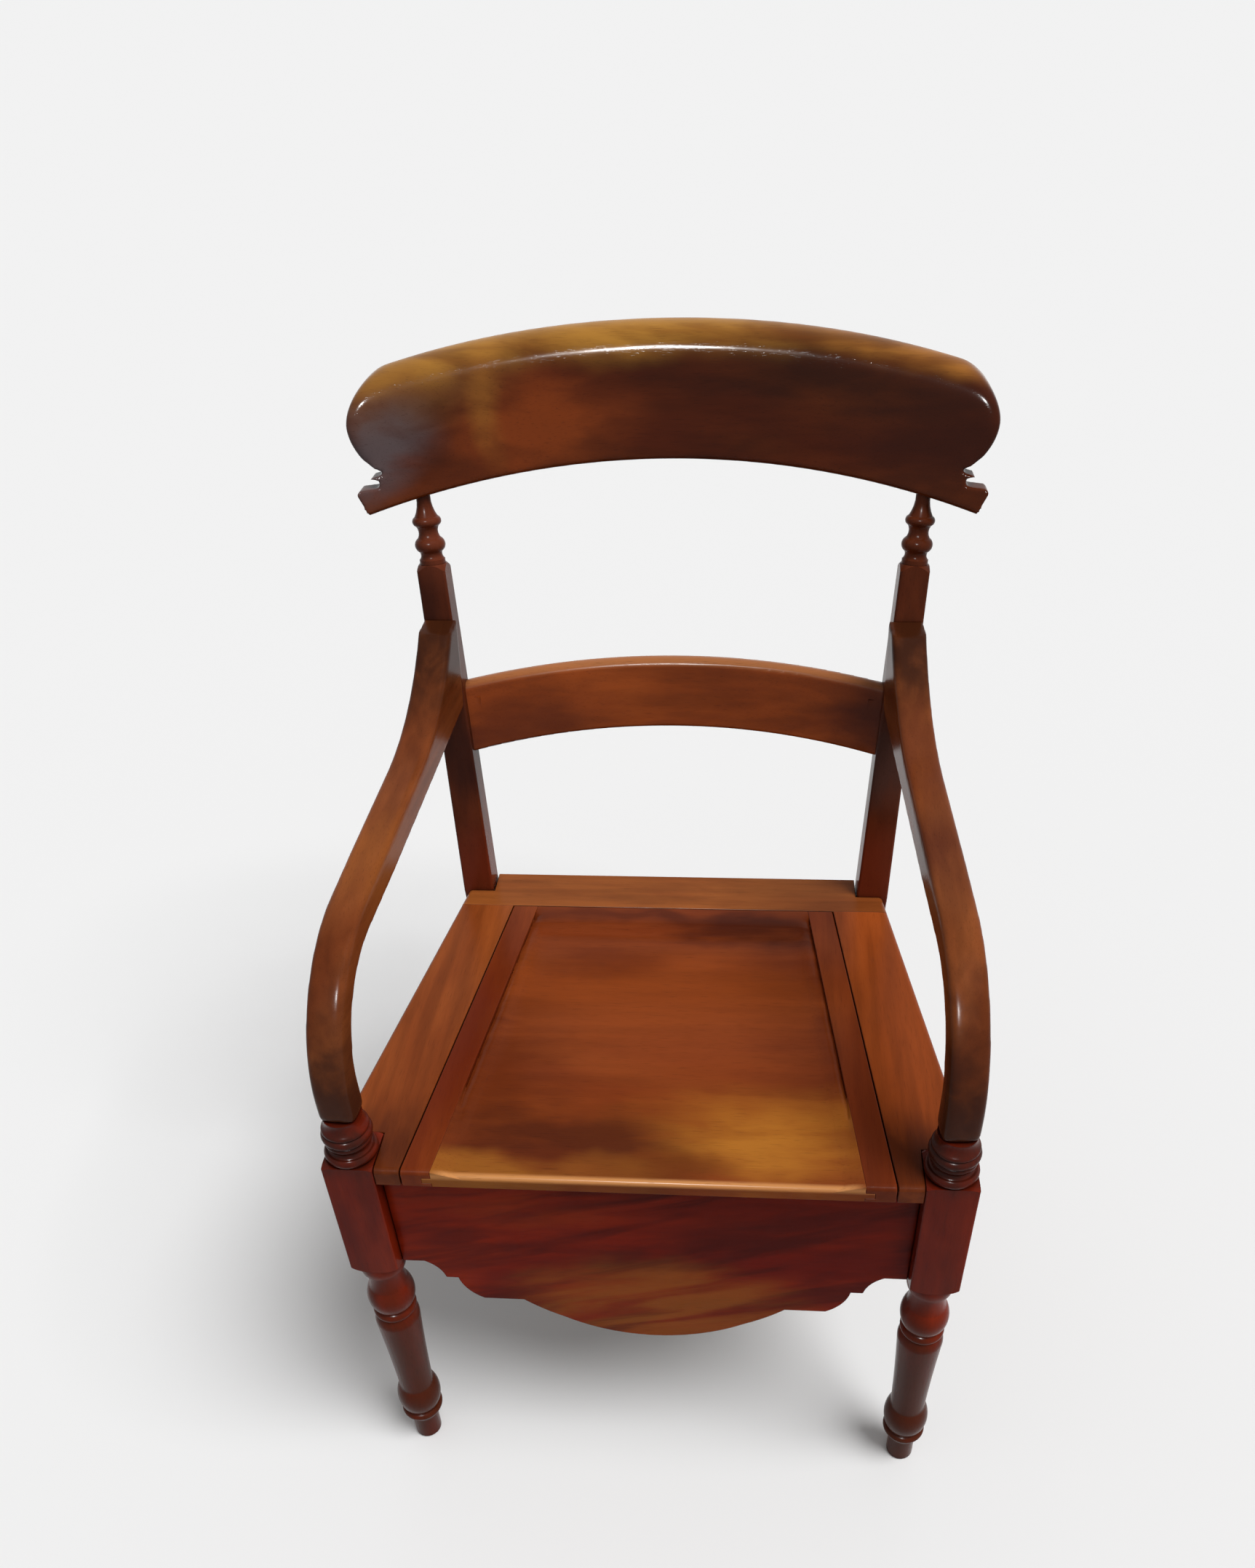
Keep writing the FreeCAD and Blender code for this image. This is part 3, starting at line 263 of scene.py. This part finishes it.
# Each finish says only where it differs from baseWood
finishes = {
    "crestWood": {
        "dark": tone("#521f0a"), "light": tone("#7a3912"), "driftScale": 7.0,
        "figure": 0.45, "figureAngle": -8, "figureScale": 14.0, "figureColour": tone("#301207"),
        "arch": 0.39, "rough": 0.11, "shine": 0.08,
        "patches": [
            ((-0.12, 0.2, 0.885), (0.12, 0.6, 0.06), tone("#9d481a"), 0.65),
            ((0.12, 0.2, 0.922), (0.22, 0.6, 0.034), tone("#32150b"), 0.8),
            ((0.25, 0.2, 0.9), (0.14, 0.6, 0.09), tone("#3d1a10"), 0.65),
            ((-0.22, 0.2, 0.94), (0.12, 0.6, 0.05), tone("#85552a"), 0.6),
            # painted reflection: a cool grey sheen on the crest's left end
            ((-0.275, 0.2, 0.895), (0.085, 0.6, 0.06), tone("#605658"), 0.8),
            ((-0.163, 0.2, 0.925), (0.022, 0.6, 0.08), tone("#a06629"), 0.6),
            # painted light: amber on the lit top of the roll
            ((-0.07, 0.26, 0.968), (0.36, 0.6, 0.046), tone("#b68034"), 0.95),
            ((0.21, 0.25, 0.962), (0.17, 0.6, 0.03), tone("#b3742f"), 0.9),
        ],
    },
    "midRailWood": {
        "dark": tone("#7f3813"), "light": tone("#a34e1e"), "shift": (0.4, 0.1, 0.3),
        "figure": 0.2, "arch": 0.19, "shine": 0.1,
        "patches": [
            ((-0.16, 0.2, 0.605), (0.14, 0.3, 0.05), tone("#562310"), 0.65),
            ((0.2, 0.2, 0.625), (0.06, 0.3, 0.06), tone("#4a1c0e"), 0.7),
        ],
        # painted highlight along the rounded top edge
        "paintedHighlights": [((0.0, 0.19, 0.6605), (0.5, 0.2, 0.006), tone("#b4774a"), 0.7)],
    },
    "postWood": {
        "turn": (0, 90, 0), "shift": (0.0, 0.5, 0.2),
        "dark": tone("#3c180c"), "light": tone("#642d16"),
        "patches": [
            *bothSides((0.2, 0.14, 0.46), (0.09, 0.15, 0.07), tone("#702a16"), 0.7),
            ((-0.21, 0.16, 0.58), (0.07, 0.2, 0.07), tone("#2a1410"), 0.7),
            # painted reflection: a grey sheen on the right post
            ((0.21, 0.16, 0.58), (0.07, 0.2, 0.07), tone("#4c3630"), 0.7),
            ((-0.2, 0.19, 0.79), (0.06, 0.1, 0.06), tone("#6b3320"), 0.9),
        ],
    },
    "armWood": {
        "turn": (0, 0, 90), "shift": (0.2, 0.7, 0.1),
        "dark": tone("#6a3216"), "light": tone("#8a4b26"), "figure": 0.15,
        "patches": [
            # painted shade on the front-facing scrolls, with dark patina
            *bothSides((0.24, -0.27, 0.49), (0.1, 0.12, 0.13), tone("#3a1d14"), 0.85),
            ((-0.23, 0.15, 0.7), (0.1, 0.12, 0.09), tone("#34180c"), 0.9),
            ((0.23, 0.15, 0.7), (0.1, 0.13, 0.1), tone("#34180c"), 0.9),
            # painted shade on the right arm's top, then a painted shadow across its middle
            ((0.235, 0.03, 0.67), (0.08, 0.09, 0.08), tone("#66301a"), 0.7),
            ((0.235, -0.085, 0.645), (0.08, 0.075, 0.07), tone("#582714"), 0.85),
            ((-0.24, -0.1, 0.61), (0.06, 0.09, 0.06), tone("#a05a26"), 0.6),
        ],
    },
    "legWood": {
        "turn": (0, 90, 0), "shift": (0.3, 0.1, 0.6),
        "dark": tone("#601406"), "light": tone("#88270d"), "shine": 0.07,
        "patches": [
            *bothSides((0.248, -0.257, 0.46), (0.08, 0.08, 0.04), tone("#3a1c15"), 0.95),
            *bothSides((0.248, -0.257, 0.1), (0.25, 0.25, 0.25), tone("#4e210f"), 0.95),
        ],
    },
    "apronWood": {
        "turn": (90, 0, 0), "dark": tone("#6f1407"), "light": tone("#96290c"), "driftScale": 9.0,
        "figure": 0.8, "figureAngle": 17, "figureScale": 34.0, "figureStretch": 6.0,
        "figureColour": tone("#4b0d06"), "fray": 0.7, "frayStretch": 6.0, "shine": 0.04,
        "patches": [
            ((0.0, -0.26, 0.245), (0.17, 0.3, 0.085), tone("#a65c22"), 0.68),
            ((0.12, -0.26, 0.355), (0.16, 0.3, 0.05), tone("#500f07"), 0.7),
            ((-0.165, -0.26, 0.33), (0.06, 0.3, 0.025), tone("#500f07"), 0.6),
            ((-0.1, -0.26, 0.375), (0.13, 0.3, 0.03), tone("#93320f"), 0.5),
        ],
    },
    "leftBoardWood": {
        "turn": (0, 0, 90), "shift": (0.9, 0.3, 0.0),
        "dark": tone("#803c18"), "light": tone("#954c21"), "figure": 0.1,
        # painted shade near the collar at the board's front end
        "patches": [((-0.215, -0.25, 0.43), (0.06, 0.07, 0.2), tone("#451c0e"), 0.75)],
    },
    "rightBoardWood": {
        "turn": (0, 0, 90), "shift": (0.4, 0.8, 0.1),
        "dark": tone("#8a3f18"), "light": tone("#a34e20"), "figure": 0.12,
        # painted shade near the collar at the board's front end
        "patches": [((0.215, -0.25, 0.43), (0.06, 0.08, 0.2), tone("#451c0e"), 0.8)],
    },
    "backBoardWood": {
        "shift": (0.6, 0.2, 0.5),
        "dark": tone("#86461f"), "light": tone("#9f5a29"), "figure": 0.12,
    },
    "lidWood": {
        "dark": tone("#743013"), "light": tone("#883f19"), "driftScale": 9.0,
        "shift": (0.1, 0.9, 0.0), "ribbon": 0.1,
        "figure": 0.25, "figureScale": 22.0, "figureStretch": 5.0, "figureColour": tone("#662a10"),
        "wander": 0.05, "wanderScale": 14.0, "fray": 0.4, "corner": 0.0,
        "patches": [
            ((0.02, -0.09, 0.43), (0.2, 0.13, 0.2), tone("#91431a"), 0.5),
            ((-0.15, -0.15, 0.43), (0.1, 0.16, 0.2), tone("#5e250e"), 0.7),
            # painted shade on the dish's side slopes
            ((-0.172, -0.02, 0.43), (0.026, 0.18, 0.2), tone("#5c240e"), 0.7),
            ((0.166, -0.02, 0.43), (0.028, 0.2, 0.2), tone("#55200d"), 0.75),
            ((-0.067, 0.006, 0.43), (0.09, 0.045, 0.2), tone("#642810"), 0.6),
            ((0.105, -0.22, 0.43), (0.19, 0.075, 0.2), tone("#a05c20"), 0.9),
            ((0.085, -0.228, 0.43), (0.1, 0.05, 0.2), tone("#b87529"), 0.7),
            ((-0.075, -0.228, 0.43), (0.15, 0.055, 0.2), tone("#532310"), 0.9),
            ((0.015, -0.263, 0.43), (0.07, 0.03, 0.2), tone("#64300f"), 0.7),
            ((-0.145, -0.272, 0.43), (0.12, 0.03, 0.2), tone("#9c5f22"), 0.8),
            ((-0.03, -0.266, 0.43), (0.06, 0.028, 0.2), tone("#9a5c22"), 0.35),
            ((0.0, 0.073, 0.43), (0.26, 0.016, 0.2), tone("#521f0c"), 0.7),
            ((0.085, 0.057, 0.43), (0.13, 0.036, 0.2), tone("#461a0c"), 0.85),
        ],
        # painted highlight along the rounded front nose
        "paintedHighlights": [((0.0, -0.276, 0.4312), (0.7, 0.0055, 0.006), tone("#dd9a5e"), 0.85)],
    },
    "clampWood": {
        "turn": (0, 0, 90), "shift": (0.5, 0.5, 0.5),
        "dark": tone("#6e2c11"), "light": tone("#8a401b"), "figure": 0.15, "corner": 0.2,
        "patches": [((-0.19, -0.1, 0.43), (0.05, 0.3, 0.2), tone("#641e0b"), 0.6)],
    },
    "dealWood": {
        "turn": (0, 0, 90), "dark": tone("#8a6238"), "light": tone("#b58a55"),
        "figure": 0.1, "figureColour": tone("#7a5228"), "poreColour": tone("#6a4420"),
        "cornerShadeColour": tone("#3a2412"), "rough": 0.62,
    },
}
wood = {name: woodFinish(name, {**baseWood, **change}) for name, change in finishes.items()}
print("wood finishes:", len(wood))

# Glazed earthenware with a faint crackle and a few warm spots
glazeLook = {
    "pale": tone("#e6dcc4"), "warm": tone("#d8c8a4"), "blushScale": 14.0, "blushDetail": 4.0,
    "blushEnds": (0.35, 0.7), "glossEnds": (0.3, 0.7), "gloss": (0.1, 0.2),
    "crackColour": tone("#8a7450"), "crackScale": 130.0, "crackWidth": 0.035, "crackAmount": 0.22,
    "cornerShadeColour": tone("#7b6a48"), "cornerReach": 0.02, "cornerEnds": (0.2, 0.8), "corner": 0.35,
    "coat": 0.4, "coatRough": 0.06, "bump": 0.1, "bumpDepth": 0.0002,
}


def potFinish(look):
    material, tree, shader = newMaterial("potGlaze")
    place = put(tree, "TexCoord").outputs["Object"]
    blush = noise(tree, place, look["blushScale"], look["blushDetail"])["Fac"]
    colour = blendColour(tree, spread(tree, blush, *look["blushEnds"]), look["pale"], look["warm"])
    crack = put(tree, "TexVoronoi", {"Vector": place, "Scale": look["crackScale"]},
                feature="DISTANCE_TO_EDGE").outputs["Distance"]
    crackMark = spread(tree, crack, 0.0, look["crackWidth"], look["crackAmount"], 0.0)
    colour = blendColour(tree, crackMark, colour, look["crackColour"])
    # painted shade: the glaze is darker in its corners and hollows
    corner = cornerShade(tree, look["cornerReach"])
    cornerShadeMark = spread(tree, corner, *look["cornerEnds"], look["corner"], 0.0)
    colour = blendColour(tree, cornerShadeMark, colour, look["cornerShadeColour"])
    tree.links.new(colour, shader.inputs["Base Color"])
    gloss = spread(tree, blush, *look["glossEnds"], *look["gloss"])
    tree.links.new(gloss, shader.inputs["Roughness"])
    shader.inputs["Coat Weight"].default_value = look["coat"]
    shader.inputs["Coat Roughness"].default_value = look["coatRough"]
    addBump(tree, shader, crackMark, look["bump"], look["bumpDepth"], invert=True)
    return material


# Old wood screws: dull iron with brown rust in blotches
rustLook = {
    "iron": tone("#6b6661"), "rust": tone("#553121"), "scale": 420.0, "detail": 5.0,
    "ends": (0.45, 0.62), "metal": (1.0, 0.1), "roughEnds": (0.4, 0.65), "rough": (0.35, 0.8),
    "bump": 0.4, "bumpDepth": 0.0003,
}


def ironFinish(look):
    material, tree, shader = newMaterial("oldIron")
    place = put(tree, "TexCoord").outputs["Object"]
    rust = noise(tree, place, look["scale"], look["detail"])["Fac"]
    colour = blendColour(tree, spread(tree, rust, *look["ends"]), look["iron"], look["rust"])
    tree.links.new(colour, shader.inputs["Base Color"])
    rough = spread(tree, rust, *look["roughEnds"], *look["rough"])
    tree.links.new(rough, shader.inputs["Roughness"])
    metal = spread(tree, rust, *look["ends"], *look["metal"])
    tree.links.new(metal, shader.inputs["Metallic"])
    addBump(tree, shader, rust, look["bump"], look["bumpDepth"])
    return material


potGlaze = potFinish(glazeLook)
oldIron = ironFinish(rustLook)

# Copies of the chair's parts with soft edges and smooth curves (angles in degrees)
meshCare = {"merge": 4e-6, "flat": 0.4, "sliver": 2e-4, "onPlane": 1e-6,
            "bevelSteps": 2, "smoothing": 0.5}


def mergedCopy(node):
    work = bmesh.new()
    work.from_mesh(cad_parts[node].data)
    bmesh.ops.remove_doubles(work, verts=work.verts[:], dist=meshCare["merge"])
    return work


def addObject(name, mesh, material):
    mesh.materials.clear()
    mesh.materials.append(material)
    piece = bpy.data.objects.new(name, mesh)
    scene.collection.objects.link(piece)
    return piece


def polishedObject(node, work, material):
    mesh = bpy.data.meshes.new(node + "_polished")
    work.to_mesh(mesh)
    work.free()
    return addObject(node + "_polished", mesh, material)


def appliedMesh(piece):
    graph = bpy.context.evaluated_depsgraph_get()
    ready = bpy.data.meshes.new_from_object(piece.evaluated_get(graph))
    piece.modifiers.clear()
    piece.data = ready
    return piece


# The dish's bends are rounded: its top is cut into a grid, and each point takes the mean height
# of the surface around it
def softenDish(work, surface, dish):
    for axis, (low, high) in enumerate((dish["x"], dish["y"])):
        normal = Vector((1 - axis, axis, 0))
        steps = round((high - low) / dish["grid"])
        for step in range(steps + 1):
            place = normal * (low + (high - low) * step / steps)
            bmesh.ops.bisect_plane(work, geom=work.verts[:] + work.edges[:] + work.faces[:],
                                   plane_co=place, plane_no=normal, dist=meshCare["onPlane"])
    around = []
    for reach in dish["rings"]:
        for turn in range(dish["turns"]):
            angle = 2 * math.pi * turn / dish["turns"]
            around.append(Vector((math.cos(angle), math.sin(angle), 0)) * dish["round"] * reach)
    down = Vector((0, 0, -1))
    (left, right), (front, back) = dish["x"], dish["y"]
    for vert in work.verts:
        inside = left < vert.co.x < right and front < vert.co.y < back
        if not inside or vert.co.z < dish["floor"]:
            continue
        heights = [vert.co.z]
        for offset in around:
            start = vert.co + offset
            hit = surface.ray_cast(Vector((start.x, start.y, dish["above"])), down)[0]
            heights.append(hit.z if hit else vert.co.z)
        vert.co.z = sum(heights) / len(heights)


def polishedCopy(node, copy):
    work = mergedCopy(node)
    surface = BVHTree.FromBMesh(work)
    bmesh.ops.dissolve_limit(work, angle_limit=math.radians(meshCare["flat"]),
                             verts=work.verts[:], edges=work.edges[:])
    sharpAngle = math.radians(copy["sharp"])
    if copy.get("dish"):
        bmesh.ops.dissolve_degenerate(work, dist=meshCare["sliver"], edges=work.edges[:])
        softenDish(work, surface, copy["dish"])
    for face in work.faces:
        face.smooth = True
    for edge in work.edges:
        edge.smooth = len(edge.link_faces) == 2 and edge.calc_face_angle(0.0) < sharpAngle
    piece = polishedObject(node, work, copy["material"])
    if copy["bevel"] > 0:
        bevel = piece.modifiers.new("softEdge", "BEVEL")
        bevel.limit_method = "ANGLE"
        bevel.angle_limit = math.radians(copy.get("bevelAngle", copy["sharp"]))
        bevel.width = copy["bevel"]
        bevel.segments = meshCare["bevelSteps"]
        bevel.use_clamp_overlap = False
        bevel.harden_normals = False
    weigh = piece.modifiers.new("flatShading", "WEIGHTED_NORMAL")
    weigh.keep_sharp = True
    return appliedMesh(piece)


# A copy with its rims worn round: remeshed finely, then smoothed where the wear function is above 0
def wornCopy(node, copy):
    piece = polishedObject(node, mergedCopy(node), copy["material"])
    remesh = piece.modifiers.new("evenMesh", "REMESH")
    remesh.mode = "VOXEL"
    remesh.voxel_size = copy["grid"]
    appliedMesh(piece)
    for index, (wear, rounds) in enumerate(copy["wear"]):
        group = piece.vertex_groups.new(name="wear" + str(index))
        for vert in piece.data.vertices:
            amount = min(1.0, max(0.0, wear(vert.co, vert.normal)))
            group.add([vert.index], amount, "REPLACE")
        smooth = piece.modifiers.new(group.name, "SMOOTH")
        smooth.factor = meshCare["smoothing"]
        smooth.iterations = rounds
        smooth.vertex_group = group.name
    appliedMesh(piece)
    piece.data.materials.clear()
    piece.data.materials.append(copy["material"])
    piece.data.shade_smooth()
    return piece


def settle(piece, body, slot, *nodes):
    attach(piece, body)
    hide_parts(*nodes)


def makeCopies(make, body, copies):
    for node, copy in copies.items():
        piece = make(node, copy)
        settle(piece, body, copy["slot"], node)
        print("copied", node, len(piece.data.polygons))


def plainEdge(finish, slot, bevel=0.0):
    return {"material": wood[finish], "slot": slot, "bevel": bevel, "sharp": 35}


frameCopies = {
    "mid_rail": plainEdge("midRailWood", "mahogany_dark"),
    "left_back_post": plainEdge("postWood", "mahogany_dark"),
    "right_back_post": plainEdge("postWood", "mahogany_dark"),
    "left_front_leg": plainEdge("legWood", "mahogany_dark"),
    "right_front_leg": plainEdge("legWood", "mahogany_dark"),
    "front_apron": plainEdge("apronWood", "mahogany_dark", 0.0012),
    "left_seat_board": plainEdge("leftBoardWood", "mahogany_light", 0.0008),
    "right_seat_board": plainEdge("rightBoardWood", "mahogany_light", 0.0008),
    "back_seat_board": plainEdge("backBoardWood", "mahogany_light", 0.0008),
}
makeCopies(polishedCopy, "frame", frameCopies)

# The crest's roll is worn most on its front side, the arms on their front bend
crestWear = {"frontLow": 0.855, "upperLow": 0.85, "fade": 0.02, "away": 0.25, "turn": 0.5}
armWear = {"start": -0.1, "fade": 0.12}


def crestFront(co, normal):
    high = min(1.0, (co.z - crestWear["frontLow"]) / crestWear["fade"])
    return high * (crestWear["away"] - normal.y) / crestWear["turn"]


def crestUpper(co, normal):
    return (co.z - crestWear["upperLow"]) / crestWear["fade"]


def armBend(co, normal):
    return (armWear["start"] - co.y) / armWear["fade"]


def everywhere(co, normal):
    return 1.0


armCopy = {"material": wood["armWood"], "slot": "mahogany_light", "grid": 0.0014,
           "wear": [(armBend, 70), (everywhere, 10)]}
wornCopies = {
    "crest_rail": {"material": wood["crestWood"], "slot": "mahogany_dark", "grid": 0.0015,
                   "wear": [(crestFront, 320), (crestUpper, 16), (everywhere, 8)]},
    "left_arm": armCopy,
    "right_arm": armCopy,
}
makeCopies(wornCopy, "frame", wornCopies)

lidDish = {"x": (-0.168, 0.168), "y": (-0.268, 0.078), "grid": 0.0042, "round": 0.008,
           "rings": (0.5, 1.0), "turns": 8, "floor": 0.43, "above": 1.0}
lidCopies = {
    "lid_panel": {**plainEdge("lidWood", "mahogany_light", 0.0006),
                  "bevelAngle": 70, "dish": lidDish},
    "left_lid_clamp": plainEdge("clampWood", "mahogany_light", 0.0006),
    "right_lid_clamp": plainEdge("clampWood", "mahogany_light", 0.0006),
}
makeCopies(polishedCopy, "lid", lidCopies)

potCopies = {
    "chamber_pot": {"material": potGlaze, "slot": "earthenware", "bevel": 0.0, "sharp": 40},
}
makeCopies(polishedCopy, "pot", potCopies)

# Slotted wood screws: one shape, set at each screw's head and turned along it
screwLook = {"headRadius": 0.0041, "headHeight": 0.0028, "shankRadius": 0.0021, "tipRadius": 0.0005,
             "slotWidth": 0.0011, "slotDepth": 0.0012, "seed": 7}
screwMesh = {"headSides": 28, "shankSides": 20, "slotReach": 3.0, "slotTall": 2.0}
headRing = {"within": 0.0001, "leastPoints": 6}


def islands(work):
    left = set(work.verts)
    for first in work.verts:
        if first not in left:
            continue
        left.remove(first)
        island = []
        edgeOfWalk = [first]
        while edgeOfWalk:
            vert = edgeOfWalk.pop()
            island.append(vert.co.copy())
            for edge in vert.link_edges:
                other = edge.other_vert(vert)
                if other in left:
                    left.remove(other)
                    edgeOfWalk.append(other)
        yield island


# The points farthest from a screw's tip are the rim of its head
def screwPlaces(node):
    work = mergedCopy(node)
    places = []
    for island in islands(work):
        tip = max(island, key=lambda co: max((co - other).length for other in island))
        far = sorted(island, key=lambda co: (co - tip).length, reverse=True)
        rim = (far[0] - tip).length - headRing["within"]
        head = [co for co in far if (co - tip).length > rim]
        if len(head) < headRing["leastPoints"]:
            tip, head = far[0], [co for co in island if (co - far[0]).length > rim]
        middle = sum(head, Vector()) / len(head)
        places.append((middle, tip - middle))
    work.free()
    return places


def screwTree():
    tree = bpy.data.node_groups.new("slottedScrews", "GeometryNodeTree")

    def socket(label, kind, way="INPUT"):
        tree.interface.new_socket(label, in_out=way, socket_type="NodeSocket" + kind)

    def cone(sides, bottom, top, depth):
        inputs = {"Vertices": sides, "Radius Bottom": given[bottom], "Radius Top": given[top],
                  "Depth": given[depth]}
        return put(tree, "GeometryNodeMeshCone", inputs).outputs["Mesh"]

    socket("Geometry", "Geometry")
    for label in ("headRadius", "headHeight", "shankRadius", "tipRadius", "length",
                  "slotWidth", "slotDepth"):
        socket(label, "Float")
    socket("seed", "Int")
    socket("material", "Material")
    socket("Geometry", "Geometry", "OUTPUT")
    given = tree.nodes.new("NodeGroupInput").outputs
    result = tree.nodes.new("NodeGroupOutput")
    head = cone(screwMesh["headSides"], "headRadius", "shankRadius", "headHeight")
    shank = cone(screwMesh["shankSides"], "shankRadius", "tipRadius", "length")
    slotLength = maths(tree, "MULTIPLY", given["headRadius"], screwMesh["slotReach"])
    slotHeight = maths(tree, "MULTIPLY", given["slotDepth"], screwMesh["slotTall"])
    slotSize = put(tree, "CombineXYZ", {"X": slotLength, "Y": given["slotWidth"], "Z": slotHeight})
    slot = put(tree, "GeometryNodeMeshCube", {"Size": slotSize.outputs[0]})
    slotted = put(tree, "GeometryNodeMeshBoolean", operation="DIFFERENCE", solver="EXACT")
    tree.links.new(head, slotted.inputs["Mesh 1"])
    tree.links.new(slot.outputs["Mesh"], slotted.inputs["Mesh 2"])
    whole = put(tree, "GeometryNodeJoinGeometry")
    tree.links.new(shank, whole.inputs["Geometry"])
    tree.links.new(slotted.outputs["Mesh"], whole.inputs["Geometry"])
    aim = put(tree, "GeometryNodeInputNamedAttribute", {"Name": "aim"}, data_type="FLOAT_VECTOR")
    turn = put(tree, "FunctionNodeAlignRotationToVector", {"Vector": aim.outputs[0]}, axis="Z")
    placed = put(tree, "GeometryNodeInstanceOnPoints", {
        "Points": given["Geometry"], "Rotation": turn.outputs[0],
        "Instance": whole.outputs["Geometry"]})
    spin = put(tree, "FunctionNodeRandomValue", {"Max": math.pi, "Seed": given["seed"]})
    spinTurn = put(tree, "CombineXYZ", {"Z": spin.outputs["Value"]})
    spun = put(tree, "GeometryNodeRotateInstances", {
        "Instances": placed.outputs[0], "Rotation": spinTurn.outputs[0]})
    solid = put(tree, "GeometryNodeRealizeInstances", {"Geometry": spun.outputs[0]})
    dressed = put(tree, "GeometryNodeSetMaterial", {
        "Geometry": solid.outputs[0], "Material": given["material"]})
    tree.links.new(dressed.outputs[0], result.inputs["Geometry"])
    return tree


def makeScrews(node, body, tree):
    places = screwPlaces(node)
    mesh = bpy.data.meshes.new(node + "_slotted")
    mesh.from_pydata([tuple(place) for place, aim in places], [], [])
    aims = mesh.attributes.new("aim", "FLOAT_VECTOR", "POINT")
    for index, (place, aim) in enumerate(places):
        aims.data[index].vector = aim.normalized()
    piece = addObject(node + "_slotted", mesh, oldIron)
    modifier = piece.modifiers.new("slottedScrews", "NODES")
    modifier.node_group = tree
    values = {**screwLook, "length": places[0][1].length, "material": oldIron}
    for item in tree.interface.items_tree:
        if item.in_out == "INPUT" and item.name in values:
            modifier[item.identifier] = values[item.name]
    appliedMesh(piece)
    settle(piece, body, "iron", node)
    print("screws", node, len(places), len(piece.data.polygons))


screwNodes = screwTree()
makeScrews("batten_screws", "lid", screwNodes)
makeScrews("ledger_screws", "frame", screwNodes)

# Parts that keep their plain shape and only get a finish
plainParts = {
    "left_side_rail": wood["leftBoardWood"],
    "right_side_rail": wood["rightBoardWood"],
    "back_seat_rail": wood["backBoardWood"],
    "lid_battens": wood["dealWood"],
    "pot_board": wood["dealWood"],
    "left_ledger": wood["dealWood"],
    "right_ledger": wood["dealWood"],
    "front_ledger": wood["dealWood"],
    "back_ledger": wood["dealWood"],
    "corner_braces": wood["dealWood"],
    "arm_plugs": wood["postWood"],
    "arm_screws": oldIron,
}
for node, material in plainParts.items():
    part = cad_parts[node]
    part.data.materials.clear()
    part.data.materials.append(material)
print("plain parts:", len(plainParts))

# Floor, world and lamps: the floor fills the view and throws little light back
stageLook = {"floor": tone("#f2f2f2"), "floorBounce": tone("#8c8c8c"),
             "floorSize": 400.0, "air": 0.36}


def seenDirectly(tree):
    rays = put(tree, "LightPath").outputs
    seen = maths(tree, "MAXIMUM", rays["Is Camera Ray"], rays["Is Glossy Ray"])
    return maths(tree, "MAXIMUM", seen, rays["Is Transmission Ray"])


def makeFloor(look):
    half = look["floorSize"] / 2
    corners = [(-half, -half, 0), (half, -half, 0), (half, half, 0), (-half, half, 0)]
    mesh = bpy.data.meshes.new("floor")
    mesh.from_pydata(corners, [], [(0, 1, 2, 3)])
    material, tree, shader = newMaterial("paleFloor")
    colour = blendColour(tree, seenDirectly(tree), look["floorBounce"], look["floor"])
    tree.links.new(colour, shader.inputs["Base Color"])
    shader.inputs["Roughness"].default_value = 1.0
    shader.inputs["Specular IOR Level"].default_value = 0.0
    addObject("floor", mesh, material)


def makeWorld(look):
    world = bpy.data.worlds.new("paleRoom")
    scene.world = world
    world.use_nodes = True
    tree = world.node_tree
    back = tree.nodes["Background"]
    back.inputs["Color"].default_value = look["floor"]
    strength = spread(tree, seenDirectly(tree), 0.0, 1.0, look["air"], 1.0)
    tree.links.new(strength, back.inputs["Strength"])


skyLight = {"place": (1.3, -0.7, 2.7), "aim": (0.0, 0.0, 0.0), "strength": 2.43, "spread": 32.0}
glintLamp = {"place": (-0.34, -4.4, 4.73), "aim": (0.0, 0.1, 0.8), "size": 0.22, "power": 420.0}


def addLamp(name, data, lamp):
    light = bpy.data.objects.new(name, data)
    scene.collection.objects.link(light)
    aim = Vector(lamp["aim"]) - Vector(lamp["place"])
    turn = aim.to_track_quat("-Z", "Y").to_matrix().to_4x4()
    light.matrix_world = Matrix.Translation(lamp["place"]) @ turn
    return light


def makeSkyLight(lamp):
    data = bpy.data.lights.new("skyLight", "SUN")
    data.energy = lamp["strength"]
    data.angle = math.radians(lamp["spread"])
    addLamp("skyLight", data, lamp).visible_glossy = False


# The glint lamp only shows as a reflection in the polish
def makeGlintLamp(lamp):
    data = bpy.data.lights.new("glintLamp", "AREA")
    data.shape = "DISK"
    data.size = lamp["size"]
    data.energy = lamp["power"]
    addLamp("glintLamp", data, lamp).visible_diffuse = False


makeFloor(stageLook)
makeWorld(stageLook)
makeSkyLight(skyLight)
makeGlintLamp(glintLamp)
print("stage and lamps set")
